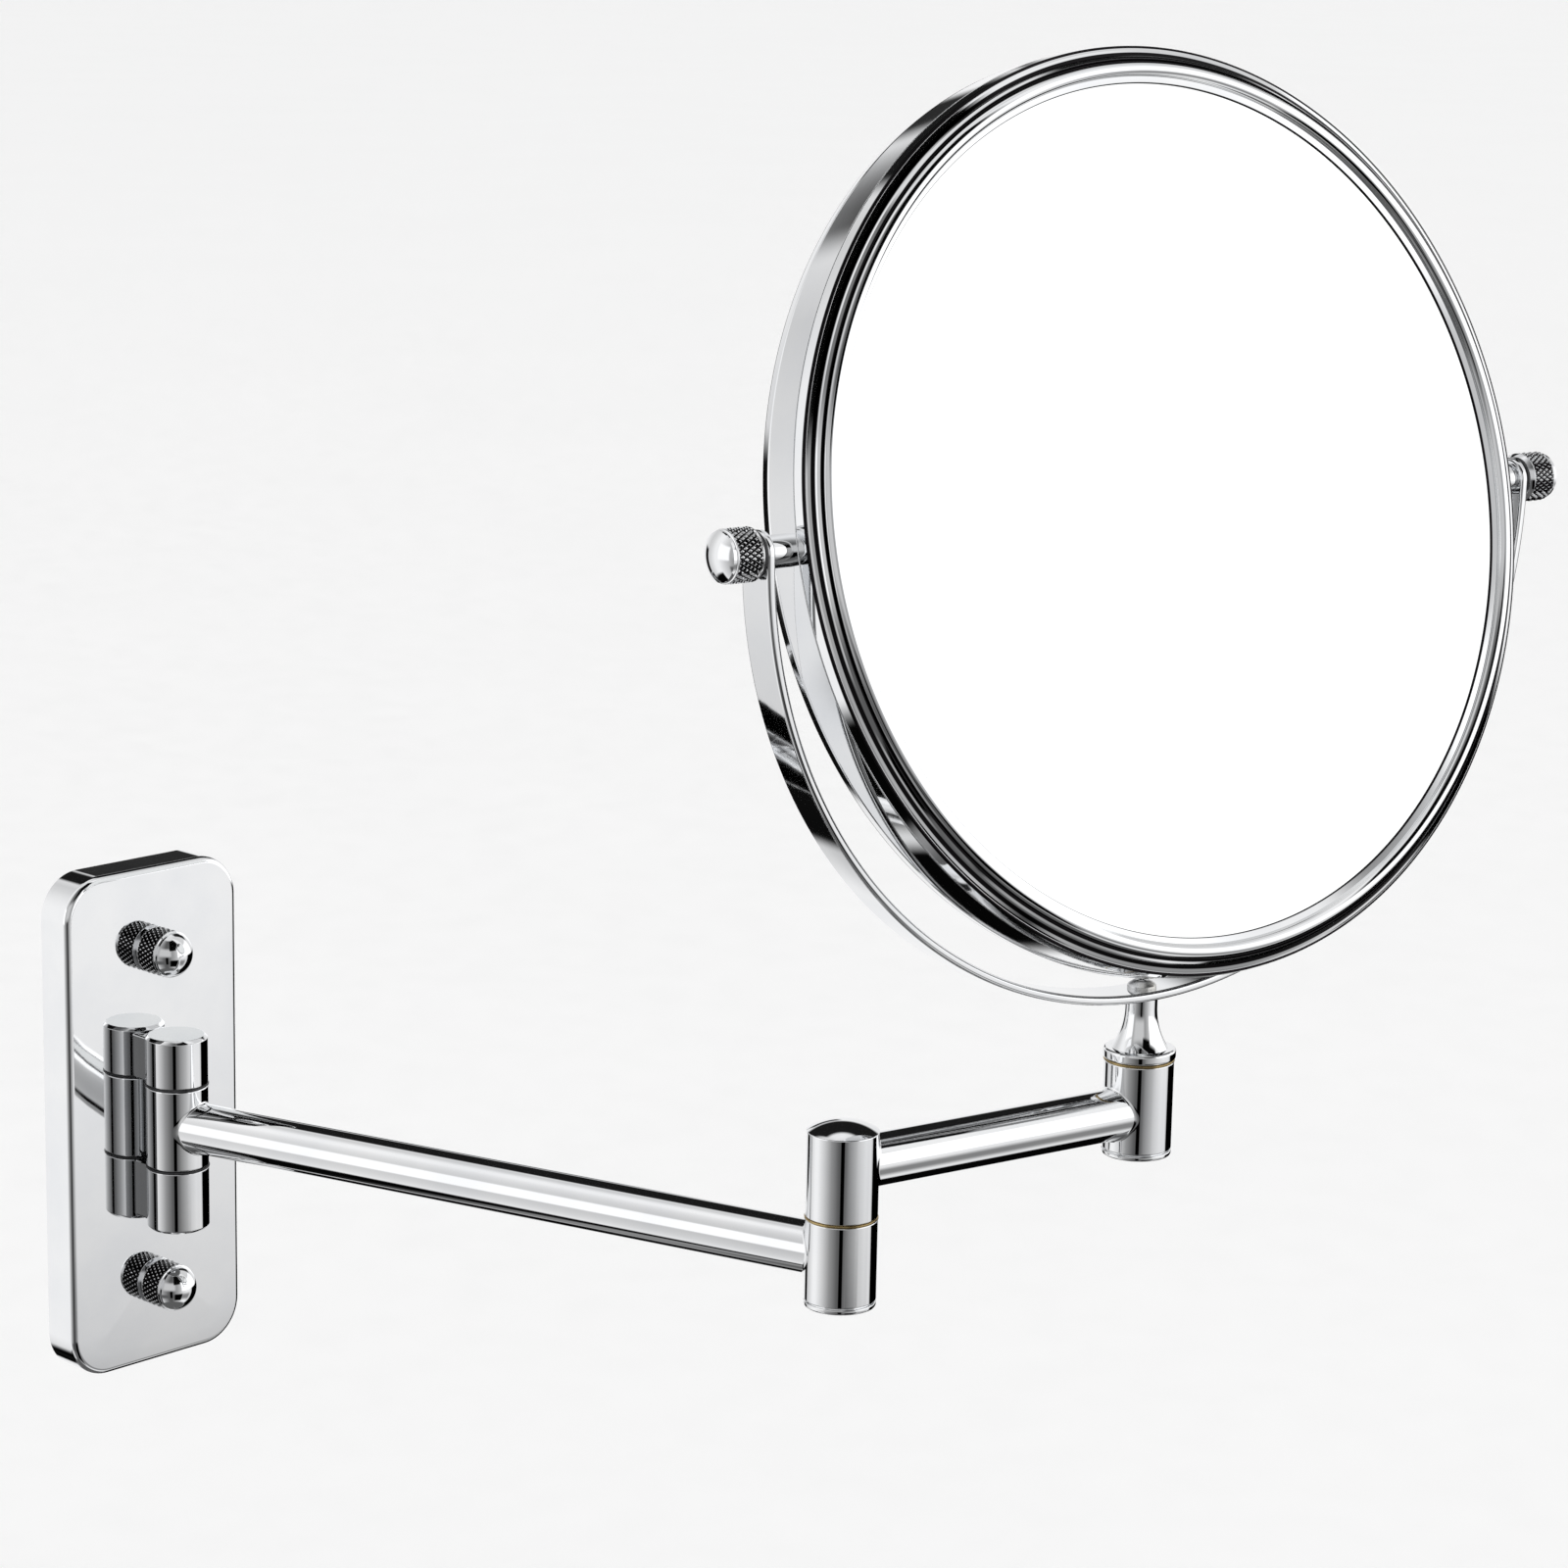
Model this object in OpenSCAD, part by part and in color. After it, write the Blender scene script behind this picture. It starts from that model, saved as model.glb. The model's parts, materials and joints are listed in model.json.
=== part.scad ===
// Extendable shaving mirror for a bathroom wall.
// Frame: +Z up, the wall is the plane y = 0, the mirror stands out towards -Y.
// Origin: the middle of the wall plate, on the wall.

/* [Wall plate] */
// Width of the wall cover
plate_w = 53; // [48:0.5:64]
// Height of the wall cover
plate_h = 129; // [121:1:154]
// Depth of the wall cover, wall to front face
plate_t = 10.6; // [10:0.1:14]
// Corner radius of the wall cover
plate_corner_r = 11; // [6:0.5:16]
// Radius along the cover's front edge
plate_edge_r = 1.6; // [0.8:0.1:2.4]
// Sheet thickness of the wall cover
cover_wall = 1.2; // [0.8:0.1:1.6]
// Distance between the two cap nuts
cap_nut_spacing = 87; // [82:1:92]
// Diameter of the cap nuts
cap_nut_d = 12; // [10:0.5:14]
// Length of the cap nuts with their dome
cap_nut_l = 12; // [10:0.5:15]
// Diameter of the studs under the cap nuts
cover_stud_d = 5; // [4:0.5:6]

/* [Wall bracket] */
// Width of the bracket strip
bracket_w = 30; // [24:1:38]
// Thickness of the bracket strip
bracket_t = 2; // [1.5:0.1:2.5]
// Length of the strip past each stud
bracket_end = 8; // [6:0.5:9]
// Distance between the two wall screws
wall_screw_spacing = 66; // [60:1:69]
// Width of the wall screw slots
wall_slot_w = 5.2; // [4.5:0.1:6]
// Length of the wall screw slots
wall_slot_l = 9; // [7:0.5:10]

/* [Wall hinge] */
// Radius of the three hinge knuckles
knuckle_r = 7.8; // [7:0.1:9]
// Gap between the turning knuckle and the cover's face
knuckle_gap = 0.8; // [0.6:0.1:1.5]
// Height of the middle knuckle
knuckle_h = 20.8; // [18:0.2:26]
// Height of the upper lug
upper_lug_h = 12.4; // [11:0.2:16]
// Height of the lower lug
lower_lug_h = 15.8; // [12:0.2:18]
// Width of the lugs' necks
lug_neck_w = 10; // [8:0.5:12]
// Diameter of the hinge pin
hinge_pin_d = 6; // [5:0.5:7]
// Thickness of the hinge washers
hinge_washer_t = 0.5; // [0.3:0.1:0.8]
// Thickness of the backing plate behind the lugs
backing_t = 2; // [1.5:0.1:2.5]
// Diameter of the lug screws
lug_screw_d = 4; // [3:0.5:4.5]

/* [Arms] */
// First arm, hinge axis to elbow axis
arm_1_l = 188; // [155:1:230]
// Second arm, elbow axis to stem axis
arm_2_l = 86.2; // [72:0.2:106]
// Outer diameter of both arm tubes
tube_d = 12.6; // [11:0.1:15.1]
// Wall of both arm tubes
tube_wall = 1; // [0.8:0.1:1.5]
// Height of the second arm's axis above the first's
arm_rise = 20.9; // [20.4:0.1:24]
// Radius of the elbow barrels and the end barrel
barrel_r = 8.4; // [8:0.1:10]
// Height of the elbow's lower barrel
lower_barrel_h = 19.4; // [17:0.2:24]
// Height of the elbow's upper barrel
upper_barrel_h = 20.3; // [18:0.2:25]
// Height of the end barrel
end_barrel_h = 21.7; // [20:0.1:26.4]
// Radius of the hollow inside the barrels
barrel_bore_r = 6.5; // [6.3:0.1:6.8]
// Thickness of the solid end inside each barrel
barrel_floor = 6; // [4:0.5:7]
// Thickness of the brass washers
brass_washer_t = 0.5; // [0.3:0.1:0.8]
// Diameter of the elbow bolt and the stem's spindle
bolt_d = 6; // [5:0.5:6.5]
// Height of the domed cap's crown
cap_crown = 2.4; // [1.5:0.1:3.5]
// Height of the ring on the barrels' bottom plugs
plug_ring_h = 1.2; // [0.8:0.1:1.8]

/* [Yoke] */
// Height of the stem's flange
stem_flange_h = 2.6; // [2:0.1:3.5]
// Radius of the stem's neck
stem_neck_r = 3.9; // [3.4:0.1:4.6]
// Height of the stem above the end barrel's washer
stem_h = 15; // [14.5:0.5:20]
// Width of the yoke's strip
yoke_w = 10.4; // [9.4:0.2:13]
// Thickness of the yoke's strip
yoke_t = 2.2; // [1.6:0.1:3]
// Gap between the mirror's rim and the yoke
yoke_gap = 6; // [5:0.1:9]
// Diameter of the yoke's screw
yoke_screw_d = 4; // [3:0.5:4.5]

/* [Mirror head] */
// Overall diameter of the mirror head
head_d = 216; // [180:1:260]
// Width of the flat band round the head
band_w = 15.4; // [14.5:0.1:18.6]
// Thickness of the band
band_t = 1.2; // [0.8:0.1:1.6]
// Width of the bezel across its face, edge to glass
bezel_w = 9.4; // [9:0.1:11]
// Height of the bezel's bead above the band's edge
bead_rise = 3.3; // [2.8:0.1:4]
// Radius of the bead
bead_r = 1.7; // [1.5:0.1:1.9]
// Sheet thickness of the bezels
bezel_t = 1; // [0.8:0.1:1.2]
// Thickness of the plain glass
front_glass_t = 3; // [2.5:0.1:3.5]
// Thickness of the magnifying glass
rear_glass_t = 2.5; // [2:0.1:3]
// Depth of the magnifying glass's hollow face
magnifier_depth = 5.35; // [3:0.05:6]
// Thickness of the foam pads
pad_t = 2; // [1:0.1:2.2]

/* [Pivots] */
// Diameter of the pivot studs
pivot_stud_d = 5; // [4:0.5:6]
// Diameter of the spacers between band and yoke
spacer_d = 7.5; // [7:0.5:9]
// Thickness of the nylon washers
pivot_washer_t = 0.6; // [0.4:0.1:1]
// Diameter of the thumb nuts
thumb_nut_d = 12.2; // [10:0.2:14]
// Length of the thumb nuts with their dome
thumb_nut_l = 10.6; // [9.6:0.2:14]

/* [Pose] */
// First arm, degrees from +X towards the viewer
arm_1_angle = 75; // [0:1:180]
// Second arm, degrees from +X towards the viewer
arm_2_angle = 12; // [-180:1:180]
// Mirror's pivot line, degrees from +X towards the viewer
mirror_turn = 10; // [-180:1:180]
// Tilt of the mirror, its face turned up
mirror_tilt = 13.5; // [-180:0.5:180]

/* [Hidden] */
$fn = 96;

// Clearances
running = 0.05;        // radial, between a turning shaft and its bore
slip = 0.05;           // radial, between parts that slide together
screw_clearance = 0.3; // radial, round a screw that passes through
cut = 1;               // how far a cutting shape runs past a face

// Wall side
cover_face = -plate_t;
cover_inside = -plate_t + cover_wall;
hinge_y = -(plate_t + knuckle_gap + knuckle_r);
cap_nut_z = cap_nut_spacing / 2;
knuckle_top = knuckle_h / 2;
upper_lug_z = knuckle_top + hinge_washer_t;
lower_lug_z = -knuckle_top - hinge_washer_t - lower_lug_h;
lug_chamfer = 0.8;
pin_cover = 2;         // metal left above the pin in the upper lug
lug_screw_reach = 3.2; // thread of a lug screw inside the neck
screw_end_gap = 0.5;   // left in the bore past the screw's end
pin_recess = 0.5;      // pin's lower end above the lug's face
neck_step = 1.5;       // the neck's end below the knuckle's, in lug chamfers
screw_head_h = 2.4;
screw_head_share = 0.85; // head radius as a share of the screw's diameter
screw_head_r = lug_screw_d * screw_head_share;
backing_w = 28;
strip_corner_r = 3;    // corners of the bracket and the backing plate
backing_margin = 4;
lug_screw_z = [upper_lug_z + upper_lug_h / 2, lower_lug_z + lower_lug_h / 2];

// Arms
tube_r = tube_d / 2;
spigot_r = tube_r - tube_wall - slip;
spigot_l = 9;
bolt_r = bolt_d / 2;
joint_drop = 12.4;     // from the second arm's axis down to the elbow's washer
end_drop = 9.1;        // from the second arm's axis down to the end barrel's foot
lower_barrel_top = arm_rise - joint_drop;
upper_barrel_z = lower_barrel_top + brass_washer_t;
lower_barrel_z = lower_barrel_top - lower_barrel_h;
end_barrel_z = arm_rise - end_drop;
end_barrel_top = end_barrel_z + end_barrel_h;
washer_lip = 0.15;     // how far the thin washers stand out
plug_depth = 2;
plug_neck_h = 0.3;
plug_neck_in = 0.6;
spring_washer_t = 1;
spring_washer_count = 2;
spring_cone = 0.4;     // rise of the cone as a share of its thickness
lock_nut_h = 5;
lock_nut_flats = 10;
bolt_head_h = 4;
bolt_head_r = 5;
hex_socket_d = 4.6;
thread_past_nut = 1.3;
washer_stack = spring_washer_count * (spring_washer_t + slip) + slip;

// Yoke and head
head_r = head_d / 2;
yoke_in_r = head_r + yoke_gap;
yoke_out_r = yoke_in_r + yoke_t;
stem_z = end_barrel_top + brass_washer_t;
head_z = stem_z + stem_h + yoke_out_r;
flange_lip = 0.35;     // stem's flange past the barrel
stem_flange_r = barrel_r + flange_lip;
flange_edge_r = 0.6;
stem_thread_l = 9;
trumpet_r = 18;
trumpet_foot_r = 6.8;
trumpet_h = sqrt(pow(trumpet_r, 2) - pow(trumpet_r + stem_neck_r - trumpet_foot_r, 2));
yoke_screw_head_r = 3.5;
yoke_screw_head_h = 2;
eye_r = yoke_w / 2;

bezel_overlap = 2.9;   // how far the glass runs under its bezel
glass_rise = 0.5;      // glass face above the band's edge
lip_w = 1.6;           // slope between the glass and the bead
band_in_r = head_r - band_t;
glass_open_r = head_r - bezel_w;
glass_r = glass_open_r + bezel_overlap;
glass_face = band_w / 2 + glass_rise;
bead_face = band_w / 2 + bead_rise;
bead_mid_r = glass_open_r + bead_r + lip_w;
bead_step = 15;        // degrees between the points of the bead's round
groove_w = 0.5;        // beside the bead
groove_rise = 0.4;
cove = [[3.2, 1.4], [2.7, 0.8], [1.2, 0]]; // each point in from the rim, above the band's edge
bezel_edge = 0.6;      // bevel where the bezel meets the band
front_glass_back = glass_face - front_glass_t;
rear_glass_back = glass_face - rear_glass_t;
dish_border = 0.6;     // flat border of the dished glass that shows
lens_edge_r = glass_open_r - dish_border;
dish_gap = 0.5;        // between the dished glass and the core behind it
magnifier_r = (pow(lens_edge_r, 2) + pow(magnifier_depth, 2)) / (2 * magnifier_depth);
lens_mid = sqrt(pow(magnifier_r, 2) - pow(lens_edge_r, 2));
core_front = front_glass_back - pad_t;
core_rear = rear_glass_back - pad_t;
core_web = 1.6;
core_rib = 1.6;
core_ring_w = 3;
core_hub_r = 42;
core_rib_count = 8;
bezel_lip_h = 1;       // part of the band's width that each bezel covers

pivot_r = pivot_stud_d / 2;
pivot_nut_h = 3.4;
stud_past_nut = 1;
pivot_nut_flats = pivot_stud_d * 1.4;
nut_corner_r = pivot_nut_flats / 2 / cos(30);
bezel_skirt_l = band_w / 2 - bezel_lip_h - nut_corner_r - screw_clearance;
nut_seat = sqrt(pow(band_in_r, 2) - pow(nut_corner_r, 2));
pivot_end_gap = 0.05;  // between spacer and yoke, and between washer and nut
thumb_nut_u = yoke_out_r + pivot_washer_t + pivot_end_gap;
nut_collar = 0.5;      // how much narrower a nut's collar is than its knurl
nut_collar_h = 1;
cap_nut_dome = 0.3;    // height of a cap nut's dome as a share of its diameter
thumb_nut_dome = 0.15; // the same of a thumb nut
bore_reach = 0.7;      // depth of a nut's bore as a share of its length
stud_reach = 0.65;     // how far a stud goes into its nut, as a share of the nut's length

chrome = [0.82, 0.83, 0.85];
steel = [0.62, 0.63, 0.66];
brass = [0.80, 0.66, 0.35];
dark = [0.16, 0.16, 0.17];
silver = [0.93, 0.94, 0.95];
plastic = [0.85, 0.85, 0.83];
foam = [0.25, 0.25, 0.27];

// ---- Places ----

// x runs along the first arm, from the hinge axis
module at_arm_1() {
    translate([0, hinge_y, 0]) rotate(-arm_1_angle) children();
}

// Stands on the elbow's axis, x along the second arm
module at_elbow() {
    at_arm_1() translate([arm_1_l, 0, 0]) rotate(arm_1_angle - arm_2_angle) children();
}

// Stands on the stem's axis, x along the mirror's pivot line
module at_stem() {
    at_elbow() translate([arm_2_l, 0, 0]) rotate(arm_2_angle - mirror_turn) children();
}

// The head's own frame: z out of the plain glass, x along the pivot line
module at_head() {
    at_stem() translate([0, 0, head_z]) rotate([90 - mirror_tilt, 0, 0]) children();
}

// z runs outwards along one pivot, side -1 left and 1 right
module at_pivot(side) {
    at_head() rotate([0, side * 90, 0]) children();
}

// ---- Shapes that repeat ----

module tube(r_out, r_in, h) {
    difference() {
        cylinder(r = r_out, h = h);
        translate([0, 0, -cut]) cylinder(r = r_in, h = h + 2 * cut);
    }
}

module hex(flats, h) {
    cylinder(d = flats / cos(30), h = h, $fn = 6);
}

// Flat rectangle with round corners, centred
module rounded_rect(w, l, r) {
    square([w - 2 * r, l], center = true);
    square([w, l - 2 * r], center = true);
    for (x = [-1, 1]) for (y = [-1, 1])
        translate([x * (w / 2 - r), y * (l / 2 - r)]) circle(r);
}

// Rounded block standing on z = 0, its top edge rounded over by edge_r
module rounded_block(w, l, h, corner_r, edge_r) {
    half_w = w / 2 - corner_r;
    half_l = l / 2 - corner_r;
    for (x = [-half_w, half_w]) for (y = [-half_l, half_l])
        translate([x, y, 0]) rotate_extrude() intersection() {
            block_section(2 * corner_r, h, edge_r);
            square([corner_r, h]);
        }
    rotate([90, 0, 0]) linear_extrude(2 * half_l, center = true)
        block_section(w, h, edge_r);
    rotate([90, 0, 90]) linear_extrude(2 * half_w, center = true)
        block_section(l, h, edge_r);
}

// Section of a block: square below, quarter circles on top
module block_section(w, h, edge_r) {
    translate([-w / 2, 0]) square([w, h - edge_r]);
    translate([edge_r - w / 2, 0]) square([w - 2 * edge_r, h]);
    for (side = [-1, 1])
        translate([side * (w / 2 - edge_r), h - edge_r]) circle(edge_r);
}

// Domed nut along z from its seat, with a blind bore
module domed_nut(d, l, dome_h, bore_r, bore_l) {
    body_l = l - dome_h - nut_collar_h;
    collar_r = d / 2 - nut_collar;
    dome_r = (pow(collar_r, 2) + pow(dome_h, 2)) / (2 * dome_h);
    difference() {
        union() {
            cylinder(r = d / 2, h = body_l);
            cylinder(r = collar_r, h = body_l + nut_collar_h);
            intersection() {
                translate([0, 0, l - dome_r]) sphere(r = dome_r);
                cylinder(r = collar_r, h = l);
            }
        }
        translate([0, 0, -cut]) cylinder(r = bore_r, h = bore_l + cut);
    }
}

// Ring that closes a barrel from below, seen from the barrel's lower end
module bottom_plug() {
    cylinder(r = barrel_bore_r - slip, h = plug_depth);
    translate([0, 0, -plug_neck_h]) cylinder(r = barrel_r - plug_neck_in, h = plug_neck_h);
    translate([0, 0, -plug_neck_h - plug_ring_h]) cylinder(r = barrel_r, h = plug_ring_h);
}

// Barrel with a spigot towards +X and its lower part hollow
module hollow_barrel(z, h, spigot_z) {
    difference() {
        union() {
            translate([0, 0, z]) cylinder(r = barrel_r, h = h);
            spigot(barrel_r, spigot_z);
        }
        translate([0, 0, z - cut])
            cylinder(r = barrel_bore_r, h = h - barrel_floor + cut);
        translate([0, 0, z]) cylinder(r = bolt_r + running, h = h + cut);
    }
}

// Round peg towards +X that fills the end of a tube
module spigot(from_r, z) {
    translate([0, 0, z]) rotate([0, 90, 0]) cylinder(r = spigot_r, h = from_r + spigot_l);
}

// Tube from one axis to the next, coped to the round bodies at both ends
module arm_tube(l, start_r, end_r) {
    difference() {
        rotate([0, 90, 0]) tube(tube_r, tube_r - tube_wall, l);
        cylinder(r = start_r, h = 2 * tube_d, center = true);
        translate([l, 0, 0]) cylinder(r = end_r, h = 2 * tube_d, center = true);
    }
}

// Two cone washers hanging below z = 0
module spring_washers() {
    rise = spring_washer_t * spring_cone;
    for (i = [1 : spring_washer_count])
        translate([0, 0, -i * (spring_washer_t + slip)]) rotate_extrude() polygon([
            [bolt_r + slip, i % 2 * rise],
            [barrel_bore_r - screw_clearance, (i + 1) % 2 * rise],
            [barrel_bore_r - screw_clearance, (i + 1) % 2 * rise + spring_washer_t - rise],
            [bolt_r + slip, i % 2 * rise + spring_washer_t - rise]]);
}

// Nut below the spring washers that hang from z = 0
module lock_nut() {
    translate([0, 0, -washer_stack - lock_nut_h]) difference() {
        hex(lock_nut_flats, lock_nut_h);
        translate([0, 0, -cut]) cylinder(r = bolt_r, h = lock_nut_h + 2 * cut);
    }
}

// ---- Wall side ----

module wall_bracket() {
    strip_l = cap_nut_spacing + 2 * bracket_end;
    color(steel) rotate([90, 0, 0]) linear_extrude(bracket_t) difference() {
        rounded_rect(bracket_w, strip_l, strip_corner_r);
        for (side = [-1, 1]) {
            translate([0, side * cap_nut_z]) circle(d = cover_stud_d);
            translate([0, side * wall_screw_spacing / 2])
                rounded_slot(wall_slot_w, wall_slot_l);
        }
    }
}

// Slot with round ends along Y
module rounded_slot(w, l) {
    square([w, l - w], center = true);
    for (side = [-1, 1]) translate([0, side * (l - w) / 2]) circle(d = w);
}

module cover_studs() {
    stud_l = plate_t + cap_nut_l * stud_reach;
    color(steel) for (side = [-1, 1])
        translate([0, 0, side * cap_nut_z]) rotate([90, 0, 0])
            cylinder(d = cover_stud_d, h = stud_l);
}

module wall_cover() {
    color(chrome) rotate([90, 0, 0]) difference() {
        rounded_block(plate_w, plate_h, plate_t, plate_corner_r, plate_edge_r);
        translate([0, 0, -cut]) rounded_block(plate_w - 2 * cover_wall,
            plate_h - 2 * cover_wall, plate_t - cover_wall + cut,
            plate_corner_r - cover_wall, plate_edge_r / 2);
        for (side = [-1, 1]) translate([0, side * cap_nut_z, 0])
            cylinder(r = cover_stud_d / 2 + screw_clearance, h = plate_t + cut);
        for (z = lug_screw_z) translate([0, z, 0])
            cylinder(r = lug_screw_d / 2 + screw_clearance, h = plate_t + cut);
    }
}

module cap_nut(side) {
    color(chrome) translate([0, cover_face, side * cap_nut_z]) rotate([90, 0, 0])
        domed_nut(cap_nut_d, cap_nut_l, cap_nut_d * cap_nut_dome, cover_stud_d / 2 + slip,
            cap_nut_l * bore_reach);
}

module upper_cap_nut() cap_nut(1);

module lower_cap_nut() cap_nut(-1);

module backing_plate() {
    low = lower_lug_z - backing_margin / 2;
    high = upper_lug_z + upper_lug_h + backing_margin / 2;
    color(steel) translate([0, cover_inside + backing_t, (low + high) / 2])
        rotate([90, 0, 0]) linear_extrude(backing_t) difference() {
            rounded_rect(backing_w, high - low, strip_corner_r);
            for (z = lug_screw_z) translate([0, z - (low + high) / 2])
                circle(lug_screw_d / 2 + screw_clearance);
        }
}

// Fixed knuckle with its neck; the outer end is chamfered
module hinge_lug(z, h, screw_z, outer) {
    color(chrome) difference() {
        union() {
            translate([0, hinge_y, z]) rotate_extrude()
                chamfered_section(knuckle_r, h, lug_chamfer, outer);
            translate([-lug_neck_w / 2, hinge_y, outer > 0 ? z : z + neck_step * lug_chamfer])
                cube([lug_neck_w, knuckle_r + knuckle_gap, h - neck_step * lug_chamfer]);
        }
        translate([0, hinge_y, z - cut])
            cylinder(d = hinge_pin_d, h = outer > 0 ? h - pin_cover + cut : h + 2 * cut);
        translate([0, cover_face + cut, screw_z]) rotate([90, 0, 0])
            cylinder(d = lug_screw_d, h = lug_screw_reach + cut + screw_end_gap);
    }
}

// Half section of a round bar with one end chamfered
module chamfered_section(r, h, c, outer) {
    translate([0, outer > 0 ? 0 : h]) scale([1, outer > 0 ? 1 : -1])
        polygon([[0, 0], [r, 0], [r, h - c], [r - c, h], [0, h]]);
}

module upper_hinge_lug() hinge_lug(upper_lug_z, upper_lug_h, lug_screw_z[0], 1);

module lower_hinge_lug() hinge_lug(lower_lug_z, lower_lug_h, lug_screw_z[1], -1);

module lug_screws() {
    seat = cover_inside + backing_t;
    color(steel) for (z = lug_screw_z) translate([0, seat, z]) rotate([90, 0, 0]) {
        cylinder(d = lug_screw_d, h = backing_t + cover_wall + lug_screw_reach);
        translate([0, 0, -screw_head_h]) cylinder(r = screw_head_r, h = screw_head_h);
    }
}

module hinge_pin() {
    low = lower_lug_z + pin_recess;
    high = upper_lug_z + upper_lug_h - pin_cover;
    color(steel) translate([0, hinge_y, low]) cylinder(d = hinge_pin_d, h = high - low);
}

module hinge_washers() {
    color(dark) for (z = [-knuckle_top - hinge_washer_t, knuckle_top])
        translate([0, hinge_y, z])
            tube(knuckle_r + washer_lip, hinge_pin_d / 2 + running, hinge_washer_t);
}

// ---- First arm ----

module arm_1_knuckle() {
    color(chrome) at_arm_1() difference() {
        union() {
            cylinder(r = knuckle_r, h = knuckle_h, center = true);
            spigot(knuckle_r, 0);
        }
        cylinder(r = hinge_pin_d / 2 + running, h = knuckle_h + cut, center = true);
    }
}

module arm_1_tube() {
    color(chrome) at_arm_1() arm_tube(arm_1_l, knuckle_r, barrel_r);
}

module elbow_lower_barrel() {
    color(chrome) at_arm_1() translate([arm_1_l, 0, 0]) rotate(180)
        hollow_barrel(lower_barrel_z, lower_barrel_h, 0);
}

module elbow_bottom_cap() {
    color(chrome) at_arm_1() translate([arm_1_l, 0, lower_barrel_z]) bottom_plug();
}

module elbow_washer() {
    color(brass) at_elbow() translate([0, 0, lower_barrel_top])
        tube(barrel_r + washer_lip, bolt_r + running, brass_washer_t);
}

// ---- Second arm ----

module elbow_upper_barrel() {
    color(chrome) at_elbow() difference() {
        union() {
            translate([0, 0, upper_barrel_z]) cylinder(r = barrel_r, h = upper_barrel_h);
            spigot(barrel_r, arm_rise);
        }
        translate([0, 0, upper_barrel_z - cut]) cylinder(r = bolt_r, h = upper_barrel_h);
        translate([0, 0, upper_barrel_z + barrel_floor])
            cylinder(r = barrel_bore_r, h = upper_barrel_h);
    }
}

module elbow_top_cap() {
    dome_r = (pow(barrel_r, 2) + pow(cap_crown, 2)) / (2 * cap_crown);
    color(chrome) at_elbow() translate([0, 0, upper_barrel_z + upper_barrel_h]) {
        intersection() {
            translate([0, 0, cap_crown - dome_r]) sphere(r = dome_r);
            cylinder(r = barrel_r, h = cap_crown);
        }
        translate([0, 0, -plug_depth])
            cylinder(r = barrel_bore_r - slip, h = plug_depth + slip);
    }
}

module elbow_bolt() {
    seat = upper_barrel_z + barrel_floor;
    tip = lower_barrel_top - barrel_floor - washer_stack - lock_nut_h - thread_past_nut;
    color(steel) at_elbow() difference() {
        union() {
            translate([0, 0, tip]) cylinder(r = bolt_r, h = seat - tip);
            translate([0, 0, seat]) cylinder(r = bolt_head_r, h = bolt_head_h);
        }
        translate([0, 0, seat + bolt_head_h / 2])
            cylinder(d = hex_socket_d, h = bolt_head_h, $fn = 6);
    }
}

module elbow_spring_washers() {
    color(steel) at_elbow() translate([0, 0, lower_barrel_top - barrel_floor])
        spring_washers();
}

module elbow_lock_nut() {
    color(steel) at_elbow() translate([0, 0, lower_barrel_top - barrel_floor]) lock_nut();
}

module arm_2_tube() {
    color(chrome) at_elbow() translate([0, 0, arm_rise])
        arm_tube(arm_2_l, barrel_r, barrel_r);
}

module end_barrel() {
    color(chrome) at_elbow() translate([arm_2_l, 0, 0]) rotate(180)
        hollow_barrel(end_barrel_z, end_barrel_h, arm_rise);
}

module end_bottom_cap() {
    color(chrome) at_elbow() translate([arm_2_l, 0, end_barrel_z]) bottom_plug();
}

module swivel_washer() {
    color(brass) at_elbow() translate([arm_2_l, 0, end_barrel_top])
        tube(barrel_r + washer_lip, bolt_r + running, brass_washer_t);
}

// ---- Yoke ----

module swivel_stem() {
    tip = end_barrel_top - barrel_floor - washer_stack - lock_nut_h - thread_past_nut;
    color(chrome) at_stem() difference() {
        union() {
            translate([0, 0, stem_z]) rotate_extrude() stem_section();
            translate([0, 0, tip]) cylinder(r = bolt_r, h = stem_z - tip + cut);
        }
        translate([0, 0, head_z]) rotate([90, 0, 0])
            cylinder(r = yoke_out_r, h = 2 * yoke_w, center = true, $fn = 360);
        translate([0, 0, stem_z + stem_h - stem_thread_l])
            cylinder(d = yoke_screw_d, h = stem_thread_l + yoke_t);
    }
}

// Half section of the stem: rounded flange, trumpet, neck
module stem_section() {
    square([stem_flange_r, stem_flange_h - flange_edge_r]);
    square([stem_flange_r - flange_edge_r, stem_flange_h]);
    translate([stem_flange_r - flange_edge_r, stem_flange_h - flange_edge_r])
        circle(flange_edge_r);
    square([stem_neck_r, stem_h + yoke_t / 2]);
    difference() {
        translate([0, stem_flange_h - flange_edge_r])
            square([trumpet_foot_r, trumpet_h + flange_edge_r]);
        translate([stem_neck_r + trumpet_r, stem_flange_h + trumpet_h])
            circle(trumpet_r, $fn = 240);
    }
}

module swivel_spring_washers() {
    color(steel) at_stem() translate([0, 0, end_barrel_top - barrel_floor])
        spring_washers();
}

module swivel_lock_nut() {
    color(steel) at_stem() translate([0, 0, end_barrel_top - barrel_floor]) lock_nut();
}

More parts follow.
